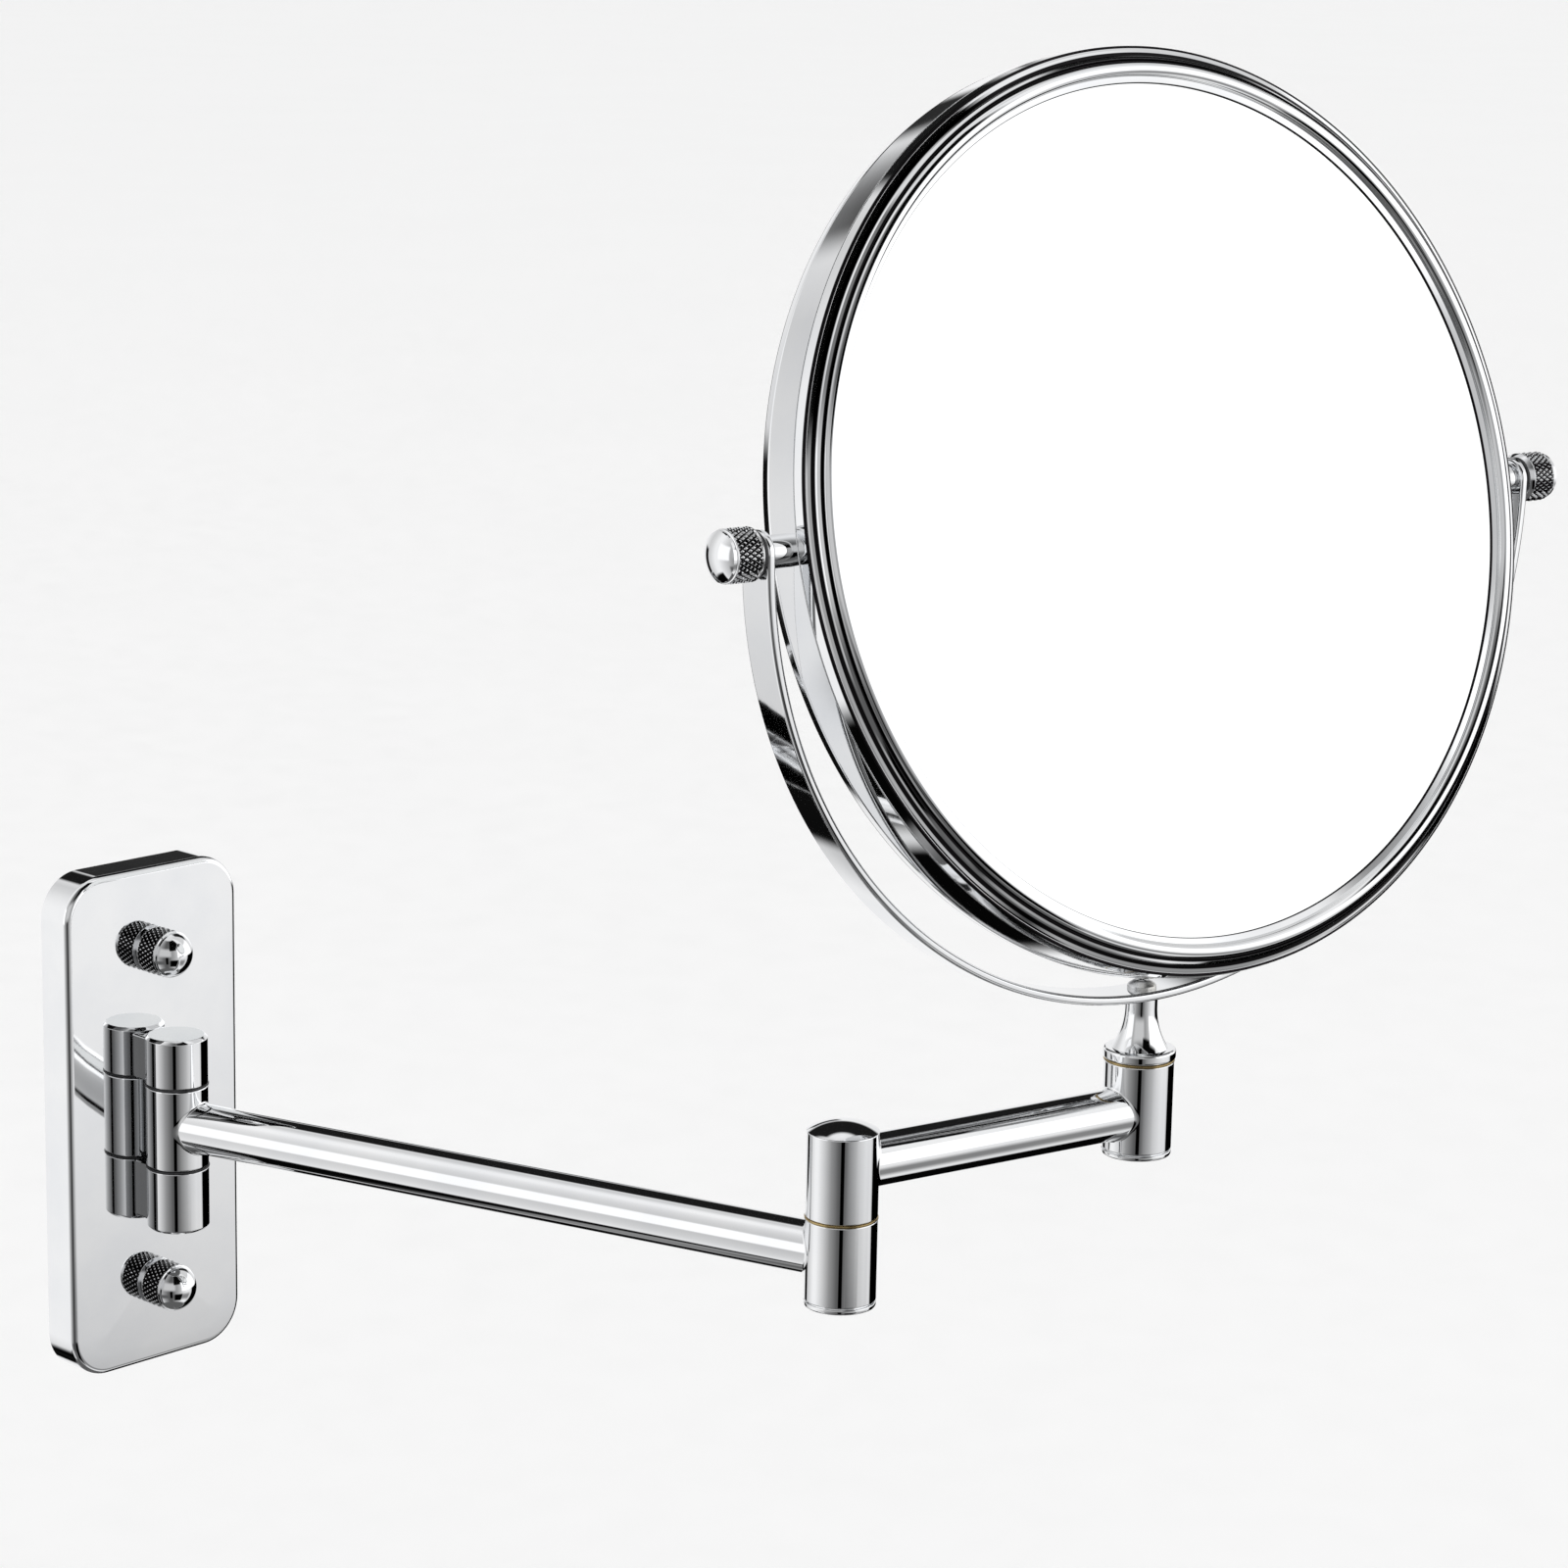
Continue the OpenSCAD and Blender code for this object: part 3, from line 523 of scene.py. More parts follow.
silver = {
    "metal": 1,
    "tones": ((0.9, 0.915, 0.91), (0.93, 0.94, 0.935)),
    "toneNoise": (12, 3),
    "rough": (0.004, 0.02),
    "roughNoise": (40, 6, 0.6),
    "frontRough": 0.01,
    "frontIor": 1.5,
}


# silvered float glass: the silver's reflection under a clear, hard front
def silveredGlass(f):
    mat = makeFinish("silveredGlass", f)
    shader = mat.node_tree.nodes["Principled BSDF"]
    shader.inputs["Coat Weight"].default_value = 1
    shader.inputs["Coat Roughness"].default_value = f["frontRough"]
    shader.inputs["Coat IOR"].default_value = f["frontIor"]
    return mat


foam = {
    "tones": ((0.012, 0.012, 0.014), (0.035, 0.035, 0.038)),
    "toneNoise": (500, 4),
    "rough": 0.9,
    "cells": 1400,         # in a metre
    "relief": (0.7, 0.2 * mm),
}


# closed-cell foam
def cellFoam(f):
    mat, tree, shader = nodeTree("cellFoam")
    tone = tinted(tree, noise(tree, *f["toneNoise"]), *f["tones"])
    tree.links.new(tone, shader.inputs["Base Color"])
    shader.inputs["Roughness"].default_value = f["rough"]
    cells = tree.nodes.new("ShaderNodeTexVoronoi")
    cells.inputs["Scale"].default_value = f["cells"]
    coords = tree.nodes.new("ShaderNodeTexCoord")
    tree.links.new(coords.outputs["Object"], cells.inputs["Vector"])
    bumped(tree, shader, cells.outputs["Distance"], *f["relief"])
    return mat


finishes = {
    "polished_chrome": polishedChrome(),
    "zinc_steel": makeFinish("zincSteel", zinc),
    "brass": makeFinish("turnedBrass", brass),
    "dark_nylon": makeFinish("darkNylon", nylon),
    "mirror_glass": silveredGlass(silver),
    "foam": cellFoam(foam),
    "plastic": makeFinish("mouldedPlastic", plastic),
}
for name, node in nodes.items():
    node.data.materials.clear()
    node.data.materials.append(finishes[slotOf[name]])
print("finishes made")


# gives a piece its finish and body, in the place of one CAD node or of several
def standsFor(piece, *cadNodes):
    piece.data.materials.clear()
    piece.data.materials.append(finishes[slotOf[cadNodes[0]]])
    weighted = piece.modifiers.new("evenShading", "WEIGHTED_NORMAL")
    weighted.keep_sharp = True
    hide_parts(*cadNodes)
    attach(piece, bodyOf[cadNodes[0]])
    return piece


# camera

cameraSetup = {
    "azimuth": 46.46,      # degrees from the wall's normal, towards the hinge side
    "elevation": 12.42,
    "roll": 1.11,
    "lens": 97.26,
    "distance": 1.07308,   # metres, as all below
    "aimRight": 0.16566,   # from the origin to the point it looks at
    "aimUp": 0.08258,
    "aimLift": -0.00071,
}


def makeCamera(setup):
    az, el, roll = (math.radians(setup[k]) for k in ("azimuth", "elevation", "roll"))
    forward = Vector((math.sin(az) * math.cos(el), math.cos(az) * math.cos(el), -math.sin(el)))
    right = Vector((math.cos(az), -math.sin(az), 0))
    above = right.cross(forward)
    rolledRight = right * math.cos(roll) + above * math.sin(roll)
    rolledUp = above * math.cos(roll) - right * math.sin(roll)
    aim = rolledRight * setup["aimRight"] + rolledUp * setup["aimUp"] + up * setup["aimLift"]
    place = Matrix((rolledRight, rolledUp, -forward)).transposed().to_4x4()
    place.translation = aim - forward * setup["distance"]
    data = bpy.data.cameras.new("camera")
    data.lens = setup["lens"]
    data.sensor_width = 36
    data.clip_end = 200
    camera = bpy.data.objects.new("camera", data)
    bpy.context.scene.collection.objects.link(camera)
    camera.matrix_world = place
    bpy.context.scene.camera = camera


makeCamera(cameraSetup)


# wall plate

wallLow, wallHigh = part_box("wall_cover")
plate = {
    "width": wallHigh.x - wallLow.x,
    "height": wallHigh.z - wallLow.z,
    "depth": wallHigh.y - wallLow.y,
    "cornerR": 11 * mm,
    "edgeR": 1.6 * mm,
    "sheet": 1.2 * mm,
    "foot": 0.25 * mm,     # bevel where the plate meets the wall
    "crown": 0.12 * mm,    # how far the pressed face bellies out
    "sharpest": 0.4 * mm,  # least radius of a corner
    "edgeSteps": 8,
    "cornerSteps": 16,
    "faceRings": (0.15, 0.35, 0.6, 0.85, 0.97),    # shares of the way from the edge to the middle
}


# one ring of the plate's outline, drawn in by inset and raised to z
def plateRing(p, inset, z):
    r = max(p["cornerR"] - inset, p["sharpest"])
    w, h = p["width"] - 2 * inset, p["height"] - 2 * inset
    return [(x, y, z) for x, y in roundedRect(w, h, r, p["cornerSteps"])]


# hollow plate: rings from the middle of its inside, round its foot and edge, to the middle of its face
def wallPlate(p):
    edge, depth, sheet = p["edgeR"], p["depth"], p["sheet"]
    rings = [
        plateRing(p, sheet + edge, depth - sheet),
        plateRing(p, sheet, depth - sheet - edge),
        plateRing(p, sheet, 0),
        plateRing(p, p["foot"], 0),
        plateRing(p, 0, p["foot"]),
    ]
    for k in range(p["edgeSteps"] + 1):
        t = math.radians(90 * k / p["edgeSteps"])
        rings.append(plateRing(p, edge * (1 - math.cos(t)), depth - p["crown"] - edge * (1 - math.sin(t))))
    for share in p["faceRings"]:
        inset = edge + (p["width"] / 2 - edge) * share
        belly = math.sin(math.radians(90 * share))
        rings.append(plateRing(p, inset, depth - p["crown"] * (1 - belly)))
    return addMesh("wallPlate", *skinned(rings), wallFrame)


standsFor(wallPlate(plate), "wall_cover")

knurledNut = {
    "diamonds": 30,
    "slender": 1.85,       # length of a diamond over its width
    "flat": 0.2,           # how much of a diamond is its flat top
    "valley": 0.55 * mm,   # depth of the knurl's grooves
    "bright": 0.25,        # share of that depth, from the top, that stays bright; the rest is painted near-black as shade
    "chamfer": 0.7 * mm,
    "land": 0.25 * mm,     # plain strip at each end of the knurl
    "landIn": 0.1 * mm,
    "knurlIn": 0.3 * mm,   # from the chamfer and from the grip's end to the knurl
    "grooveShadeIn": 0.2 * mm,    # from the grip's end to where the painted shade in its grooves stops
    "collarIn": 0.5 * mm,
    "collarL": 1 * mm,
    "soft": 0.1 * mm,
    "domeShare": 0.3,      # height of the dome over the nut's diameter
    "domeSteps": 20,
}


# domed nut along z from its seat, with a knurled grip, and the ring where its grooves are painted near-black as
# shade
def domedNut(name, r, length, setup, place):
    domeH = 2 * r * setup["domeShare"]
    gripEnd = length - domeH - setup["collarL"]
    collarR = r - setup["collarIn"]
    coreR = r - setup["valley"] * 0.9
    landR = r - setup["landIn"]
    chamfer, land, soft = setup["chamfer"], setup["land"], setup["soft"]
    body = filleted([
        (0, 0),
        (r - chamfer, 0, 1.5 * soft),
        (r - setup["landIn"] / 2, chamfer, 1.2 * soft),
        (landR, chamfer + land, soft),
        (coreR, chamfer + 2 * land),
        (coreR, gripEnd - 2 * land),
        (landR, gripEnd - land, soft),
        (landR, gripEnd, 1.2 * soft),
        (collarR, gripEnd + 1.2 * soft, soft),
        (collarR, gripEnd + setup["collarL"], soft),
    ])
    dome = domeArc(collarR, domeH, length, setup["domeSteps"])
    knurlLow = chamfer + setup["knurlIn"]
    grip = knurl(r, r - setup["valley"], knurlLow, gripEnd - setup["knurlIn"], setup)
    nut = addMesh(name, *joined(spin(body + dome[1:], 96), grip), place, 25)
    return nut, (0, r - setup["valley"] * setup["bright"], knurlLow, gripEnd - setup["grooveShadeIn"])


for node in ("upper_cap_nut", "lower_cap_nut"):
    low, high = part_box(node)
    seat = Vector(((low.x + high.x) / 2, high.y, (low.z + high.z) / 2))
    place = standing(seat, alongWall, outOfWall)
    nut, grooveShade = domedNut(node.replace("_", "-"), (high.x - low.x) / 2, high.y - low.y, knurledNut, place)
    standsFor(nut, node)
    # its chrome gets the knurl's grooves painted near-black as shade
    nut.data.materials[0] = polishedChrome(nut.name + "Chrome", [grooveShade])

print("wall plate and cap nuts made")


# wall hinge

knuckle = {
    "edge": 0.5 * mm,
    "lugEdge": 0.25 * mm,
    "lugChamfer": 0.8 * mm,
    "neckW": 10 * mm,
    "neckEdge": 0.6 * mm,
    "neckFoot": 0.2 * mm,
    "around": 128,
}


# a lug: round knuckle and the neck that stands on the plate; end 1 has its free end up, -1 down
def hingeLug(name, node, end, k):
    low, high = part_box(node)
    r = (high.x - low.x) / 2
    h = high.z - low.z
    start = 0 if end > 0 else h
    chamfer, edge = k["lugChamfer"], k["neckEdge"]
    outline = filleted([(0, 0), (r, 0, 0.3 * mm), (r, h - chamfer, k["lugEdge"]),
                        (r - chamfer, h, k["lugEdge"]), (0, h)])
    neckTop = h - 1.5 * chamfer
    neckEnd = high.y - hinge.y
    steps = [(k["neckFoot"], 0), (0, k["neckFoot"])]
    for degrees in range(0, 91, 15):
        t = math.radians(degrees)
        steps.append((edge * (1 - math.cos(t)), neckTop - edge * (1 - math.sin(t))))
    rings = []
    for inset, rise in steps:
        w = k["neckW"] / 2 - inset
        z = start + end * rise
        rings.append([(-w, 0, z), (w, 0, z), (w, neckEnd, z), (-w, neckEnd, z)])
    body = spin([(x, start + end * z) for x, z in outline], k["around"])
    place = Matrix.Translation(Vector((hinge.x, hinge.y, low.z)))
    return addMesh(name, *joined(body, skinned(rings)), place)


standsFor(hingeLug("upperHingeLug", "upper_hinge_lug", 1, knuckle), "upper_hinge_lug")
standsFor(hingeLug("lowerHingeLug", "lower_hinge_lug", -1, knuckle), "lower_hinge_lug")

hingeFrame = Matrix.Translation(Vector((hinge.x, hinge.y, 0)))
upperLug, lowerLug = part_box("upper_hinge_lug"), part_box("lower_hinge_lug")
knuckleR = (upperLug[1].x - upperLug[0].x) / 2
low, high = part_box("arm_1_knuckle")
gaps = ((lowerLug[1].z, low.z), (high.z, upperLug[0].z))      # between the turning knuckle and each lug
turning = filleted([(0, low.z), (knuckleR, low.z, knuckle["edge"]), (knuckleR, high.z, knuckle["edge"]),
                    (0, high.z)])
standsFor(addMesh("turningKnuckle", *spin(turning, knuckle["around"]), hingeFrame), "arm_1_knuckle")


# flat washer outline with softened edges, as a closed ring
def washerOutline(rIn, rOut, z0, z1):
    e = (z1 - z0) * 0.3
    return filleted([(rIn, z0), (rOut, z0, e), (rOut, z1, e), (rIn, z1)], True, 4)


low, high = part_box("hinge_washers")
washerR = (high.x - low.x) / 2
pinR = 3 * mm              # bore of the washers in the hinge, the elbow and the swivel
rings = [spin(washerOutline(pinR, washerR, z0, z1), 96, True) for z0, z1 in gaps]
standsFor(addMesh("hingeWashers", *joined(*rings), hingeFrame), "hinge_washers")
print("wall hinge made")


# arms

tube = {
    "r": (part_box("arm_1_tube")[1].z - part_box("arm_1_tube")[0].z) / 2,
    "fillet": 0.55 * mm,   # brazed joint where a tube meets a barrel
    "sunk": 1.2 * mm,      # how far its ends run into the barrels
    "sunkShare": 0.97,     # radius of those ends over the tube's
    "around": 96,
}
barrelR = (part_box("elbow_top_cap")[1].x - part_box("elbow_top_cap")[0].x) / 2


# tube from one upright barrel to the next; its ends follow the barrels' round
def armTube(name, length, startR, endR, place, t):

    # a ring of the tube, a little way out of the barrel at one of its ends
    def ring(r, shift, atEnd):
        body = endR if atEnd else startR
        row = []
        for k in range(t["around"]):
            a = 2 * math.pi * k / t["around"]
            y, z = r * math.cos(a), r * math.sin(a)
            x = math.sqrt(body ** 2 - y ** 2) + shift
            row.append((length - x if atEnd else x, y, z))
        return row

    turns = [math.radians(a) for a in range(0, 91, 15)]
    flare = [(t["r"] * t["sunkShare"], -t["sunk"])]
    flare += [(t["r"] + t["fillet"] * (1 - math.sin(a)), t["fillet"] * (1 - math.cos(a))) for a in turns]
    rings = [ring(r, shift, False) for r, shift in flare]
    rings += [ring(r, shift, True) for r, shift in flare[::-1]]
    return addMesh(name, *skinned(rings), place)


armOneL = math.hypot(elbow.x - hinge.x, elbow.y - hinge.y)
armTwoL = math.hypot(stem.x - elbow.x, stem.y - elbow.y)
armTwoZ = (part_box("arm_2_tube")[0].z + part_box("arm_2_tube")[1].z) / 2
standsFor(armTube("firstArm", armOneL, knuckleR, barrelR, standing(hinge, armOneWay, up), tube), "arm_1_tube")
secondPlace = standing(Vector((elbow.x, elbow.y, armTwoZ)), armTwoWay, up)
standsFor(armTube("secondArm", armTwoL, barrelR, barrelR, secondPlace, tube), "arm_2_tube")

barrel = {
    "edge": 0.35 * mm,
    "around": 144,
    "plugEdge": 0.45 * mm,
    "plugRing": 1.2 * mm,
    "plugNeck": 0.3 * mm,
    "plugNeckIn": 0.6 * mm,
    "capSteps": 18,
}


def barrelBody(name, z0, z1, place, b):
    outline = filleted([(0, z0), (barrelR, z0, b["edge"]), (barrelR, z1, b["edge"]), (0, z1)])
    return addMesh(name, *spin(outline, b["around"]), place)


# where a barrel starts, over its bottom cap
def capTop(node, b):
    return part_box(node)[0].z + b["plugRing"] + b["plugNeck"]


# ring that closes a barrel from below, under a narrow dark groove
def bottomCap(name, node, place, b):
    low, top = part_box(node)[0].z, capTop(node, b)
    neckR = barrelR - b["plugNeckIn"]
    outline = filleted([(0, low), (barrelR, low, b["plugEdge"]), (barrelR, low + b["plugRing"], 0.3 * mm),
                        (neckR, low + b["plugRing"]), (neckR, top), (0, top)])
    return addMesh(name, *spin(outline, b["around"]), place)


def topCap(name, node, z0, place, b):
    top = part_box(node)[1].z
    outline = [(0, z0)] + domeArc(barrelR, top - z0, top, b["capSteps"])
    return addMesh(name, *spin(outline, b["around"]), place)


elbowGap = [corner.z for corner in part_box("elbow_washer")]
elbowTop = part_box("elbow_upper_barrel")[1].z
elbowFloor = capTop("elbow_bottom_cap", barrel)
lowerPlace = standing(Vector((elbow.x, elbow.y, 0)), armOneWay, up)
standsFor(barrelBody("elbowLowerBarrel", elbowFloor, elbowGap[0], lowerPlace, barrel), "elbow_lower_barrel")
standsFor(bottomCap("elbowBottomCap", "elbow_bottom_cap", elbowFrame, barrel), "elbow_bottom_cap")
standsFor(barrelBody("elbowUpperBarrel", elbowGap[1], elbowTop, elbowFrame, barrel), "elbow_upper_barrel")
standsFor(topCap("elbowTopCap", "elbow_top_cap", elbowTop, elbowFrame, barrel), "elbow_top_cap")

swivelGap = [corner.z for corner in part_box("swivel_washer")]
endFloor = capTop("end_bottom_cap", barrel)
endPlace = standing(Vector((stem.x, stem.y, 0)), armTwoWay, up)
standsFor(barrelBody("endBarrel", endFloor, swivelGap[0], endPlace, barrel), "end_barrel")
standsFor(bottomCap("endBottomCap", "end_bottom_cap", endPlace, barrel), "end_bottom_cap")

for node, gap, place in (("elbow_washer", elbowGap, elbowFrame), ("swivel_washer", swivelGap, endPlace)):
    washerR = girth(node, Vector((place.translation.x, place.translation.y, 0)), up)
    outline = washerOutline(pinR, washerR, *gap)
    standsFor(addMesh(node.replace("_", "-"), *spin(outline, 128, True), place), node)
print("arms made")


# yoke

yokeLow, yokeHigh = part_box("yoke_ring")
stripThick = 2.2 * mm      # of the yoke, whose outer face meets the pivot washers
yoke = {
    "outR": reach("yoke_ring", head, pivotLine)[1],
    "inR": reach("left_pivot_washer", head, -pivotLine)[0] - stripThick,
    "eyeR": yokeHigh.z - head.z,
    "edge": 0.8 * mm,
    "edgeSteps": 7,
    "ringSteps": 220,
    "eyeSteps": 20,
}


# flat strip bent round the lower half of the head, with round eyes at both ends
def yokeStrip(y):
    half = y["eyeR"]
    thick = y["outR"] - y["inR"]
    midR = (y["outR"] + y["inR"]) / 2
    e = y["edge"]
    profile = []
    for k in range(y["edgeSteps"] + 1):
        t = math.radians(90 * k / y["edgeSteps"])
        profile.append((e * (1 - math.sin(t)), -thick / 2 + e * (1 - math.cos(t))))
    for k in range(y["edgeSteps"] + 1):
        t = math.radians(90 * k / y["edgeSteps"])
        profile.append((e * (1 - math.cos(t)), thick / 2 - e * (1 - math.sin(t))))
    quarter = midR * math.pi / 2

    # bends a point of the flat strip: s along it, v across it, h outwards
    def bent(s, v, h):
        if abs(s) > quarter:
            sign = 1 if s > 0 else -1
            return (sign * (midR + h), v, abs(s) - quarter)
        t = s / midR
        return ((midR + h) * math.sin(t), v, -(midR + h) * math.cos(t))

    def stations(inset):
        rows = []
        for k in range(y["eyeSteps"]):
            t = math.radians(90 - 90 * k / y["eyeSteps"])
            rows.append((-quarter - (half - inset) * math.sin(t), (half - inset) * math.cos(t)))
        for k in range(y["ringSteps"] + 1):
            rows.append((-quarter + 2 * quarter * k / y["ringSteps"], half - inset))
        for k in range(1, y["eyeSteps"] + 1):
            t = math.radians(90 * k / y["eyeSteps"])
            rows.append((quarter + (half - inset) * math.sin(t), (half - inset) * math.cos(t)))
        return rows

    verts, faces, loops = [], [], []
    for inset, h in profile:
        rows = stations(inset)
        left = [len(verts) + k for k in range(len(rows))]
        verts += [bent(s, -w, h) for s, w in rows]
        right = [len(verts) + k for k in range(len(rows))]
        verts += [bent(s, w, h) for s, w in rows]
        loops.append((left, right))
    for (leftA, rightA), (leftB, rightB) in zip(loops, loops[1:]):
        for k in range(len(leftA) - 1):
            faces.append([leftA[k], leftA[k + 1], leftB[k + 1], leftB[k]])
            faces.append([rightA[k + 1], rightA[k], rightB[k], rightB[k + 1]])
    for left, right in (loops[0], loops[-1]):
        for k in range(len(left) - 1):
            faces.append([left[k], left[k + 1], right[k + 1], right[k]])
    return addMesh("yokeStrip", verts, faces, standing(head, pivotLine, up))


standsFor(yokeStrip(yoke), "yoke_ring")

stemShape = {
    "flangeR": barrelR + 0.35 * mm,
    "flangeH": 2.6 * mm,
    "flangeEdge": 0.7 * mm,
    "footR": 6.8 * mm,
    "neckR": 3.9 * mm,
    "trumpetR": 18 * mm,
    "overlap": 0.5 * mm,   # how far the neck runs up into the yoke's strip
    "steps": 24,
    "around": 144,
}


# spindle's stem: a flange, a flare on an arc and a straight neck
def swivelStem(s, z0, z1, place):
    flareFoot = z0 + s["flangeH"]
    centreR = s["neckR"] + s["trumpetR"]
    flareTop = flareFoot + math.sqrt(s["trumpetR"] ** 2 - (centreR - s["footR"]) ** 2)
    startTurn = math.asin((flareFoot - flareTop) / s["trumpetR"])
    flare = []
    for k in range(s["steps"] + 1):
        t = startTurn * (1 - k / s["steps"])
        flare.append((centreR - s["trumpetR"] * math.cos(t), flareTop + s["trumpetR"] * math.sin(t)))
    flangeR, edge = s["flangeR"], s["flangeEdge"]
    flange = filleted([(0, z0), (flangeR, z0, edge), (flangeR, flareFoot, edge), (s["footR"], flareFoot)])
    neck = [(s["neckR"], z1), (0, z1)]
    return addMesh("swivelStem", *spin(flange[:-1] + flare + neck, s["around"]), place)


neckTop = head.z - yoke["outR"] + stemShape["overlap"]
standsFor(swivelStem(stemShape, stem.z, neckTop, stemFrame), "swivel_stem")

yokeScrew = {
    "headR": 3.5 * mm,
    "headH": 2 * mm,
    "shaftR": 2 * mm,
    "shaftL": 3 * mm,
    "sunk": 0.05 * mm,     # into the strip's bend
}
screwSeat = Vector((stem.x, stem.y, head.z - yoke["inR"] - yokeScrew["sunk"]))
standsFor(crossHead("yokeScrew", yokeScrew, standing(screwSeat, pivotLine, up)), "yoke_screw")
print("yoke made")


# mirror head

headR = max(reach("rim_band", head, pivotLine))
bezelTurn = 1 * mm         # the band's node stops this far short of the head's edge
bezelFace = reach("front_bezel", head, faceWay)[1]
glassFace = reach("front_glass", head, faceWay)[1]
rim = {
    "r": headR,
    "bandHalf": reach("rim_band", head, faceWay)[1] + bezelTurn,
    "bandSheet": 1.2 * mm,
    "lip": 3.2 * mm,       # how far a bezel is turned over the band
    "lipTaper": 0.5 * mm,  # how much the lip draws in towards the face
    "lipEdge": 0.4 * mm,
    "seam": 0.12 * mm,
    "openR": headR - 9.4 * mm,
    "beadR": 1.7 * mm,
    "beadIn": 1.6 * mm,    # from the glass's opening to the bead
    "sheet": 1 * mm,
    "around": 384,
}

# a bezel's steps from its cove down to the lip, as (in from the rim, above the band's edge, fillet)
bezelSteps = {
    "coveTop": (3.2 * mm, 1.35 * mm, 0.3 * mm),
    "coveFoot": (2.9 * mm, 0.75 * mm, 0.2 * mm),
    "stepTop": (1.5 * mm, 0.2 * mm, 0.3 * mm),
    "stepFoot": (1.15 * mm, 0, 0.15 * mm),
}


def rimBand(m):
    r, seam = m["r"], m["seam"]
    edge = m["bandHalf"] - m["lip"]
    insideR = r - m["bandSheet"]
    outline = filleted([(insideR, -edge), (r, -edge, seam), (r, edge, seam), (insideR, edge)], True, 3)
    return addMesh("rimBand", *spin(outline, m["around"], True), headFrame)


# rolled bezel: lip on the glass, bead, groove, cove and steps down to the band's edge
def bezel(name, side, m):
    r, openR, edge = m["r"], m["openR"], m["bandHalf"]
    hem = edge - m["lip"]
    hemInside = hem + m["seam"] * 0.2
    beadMid = openR + m["beadR"] + m["beadIn"]
    beadZ = bezelFace - m["beadR"]
    bead = arc(beadMid, beadZ, m["beadR"], 188, -2, 28)
    lip = filleted([
        (openR + 0.9 * mm, glassFace - 0.2 * mm),
        (openR, glassFace + 0.02 * mm, 0.15 * mm),
        (openR + 0.25 * mm, glassFace + 0.45 * mm, 0.25 * mm),
        (bead[0][0] - 0.02 * mm, bead[0][1] - 0.1 * mm),
    ])
    steps = filleted([
        bead[-1],
        (beadMid + m["beadR"] + 0.22 * mm, beadZ - 0.1 * mm, 0.12 * mm),      # groove outside the bead
        (beadMid + m["beadR"] + 0.5 * mm, beadZ + 0.45 * mm, 0.22 * mm),
        *((r - back, edge + rise, fillet) for back, rise, fillet in bezelSteps.values()),
        (r - m["lipTaper"], edge, m["lipEdge"]),
        (r, hem + 0.5 * mm, m["lipEdge"]),
        (r - 0.12 * mm, hemInside, m["seam"]),
        (r - 0.35 * mm, hemInside),
        (r - 1.3 * mm, hem),
        (r - 2.2 * mm, edge - m["sheet"]),
    ])
    place = headFrame if side > 0 else headFrame @ Matrix.Rotation(math.pi, 4, "X")
    return addMesh(name, *spin(lip[:-1] + bead + steps[1:], m["around"], True), place, 28)


# the bezel's rings painted black as shade and dark reflection in its hollows, from its outer corner in to the
# glass, as (in from the rim, width, lowest z)
bezelShadeRings = {
    "corner": (0.25 * mm, 0.85 * mm, rim["bandHalf"] - 0.5 * mm),
    "cove": (2.1 * mm, 0.9 * mm, rim["bandHalf"]),
    "bead": (3.7 * mm, 0.85 * mm, rim["bandHalf"]),
    "glassEdge": (9.1 * mm, 0.35 * mm, rim["bandHalf"]),
}
shadeRingTop = rim["bandHalf"] + 9 * mm      # clear of the bezel's face
rings = [(headR - start - width, headR - start, z, shadeRingTop) for start, width, z in bezelShadeRings.values()]
# bezel chrome with those rings painted near-black as shade
bezelChrome = polishedChrome("bezelChrome", rings)
standsFor(rimBand(rim), "rim_band")
for side, name in ((1, "front"), (-1, "rear")):
    ring = bezel(name + "Bezel", side, rim)
    standsFor(ring, name + "_bezel")
    ring.data.materials[0] = bezelChrome

glass = {
    "r": girth("front_glass", head, faceWay),
    "front": 3 * mm,
    "rear": 2.5 * mm,
    "edge": 0.35 * mm,
    "edgeSteps": 4,
    "dishIn": 0.6 * mm,    # from the bezel's opening to the hollow
    "dishMiddle": 6 * mm,  # radius in which the hollow is at its deepest
    "dishSteps": 40,
}


def plainGlass(g):
    r, edge, back = g["r"], g["edge"], glassFace - g["front"]
    corners = [(0, back), (r, back, edge), (r, glassFace, edge), (0, glassFace)]
    outline = filleted(corners, False, g["edgeSteps"])
    return addMesh("plainGlass", *spin(outline, rim["around"]), headFrame)


# how deep the magnifying glass is hollowed in its middle
def dishDepth(g):
    face = reach("rear_glass", head, -faceWay)[1]
    depths = []
    for v in nodes["rear_glass"].data.vertices:
        away = v.co - head
        along = away.dot(-faceWay)
        if (away + faceWay * along).length < g["dishMiddle"]:
            depths.append(face - along)
    return min(depths)


def magnifyingGlass(g, depth):
    r, edge, rear = g["r"], g["edge"], g["rear"]
    dishR = rim["openR"] - g["dishIn"]
    ballR = (dishR ** 2 + depth ** 2) / (2 * depth)

    # height at r of a hollow of this radius, shifted back into the glass
    def hollow(r, shift, radius):
        return glassFace - depth - shift + radius - math.sqrt(radius ** 2 - r ** 2)

    radii = [dishR * k / g["dishSteps"] for k in range(g["dishSteps"] + 1)]
    front = [(r, hollow(r, 0, ballR)) for r in radii]
    back = [(r, hollow(r, rear, ballR + rear)) for r in radii]
    border = filleted([front[-1], (r, glassFace, edge), (r, glassFace - rear, edge),
                       (dishR + rear * 0.2, glassFace - rear)], False, g["edgeSteps"])
    turned = headFrame @ Matrix.Rotation(math.pi, 4, "X")
    return addMesh("magnifyingGlass", *spin(front[:-1] + border + back[::-1], rim["around"]), turned)


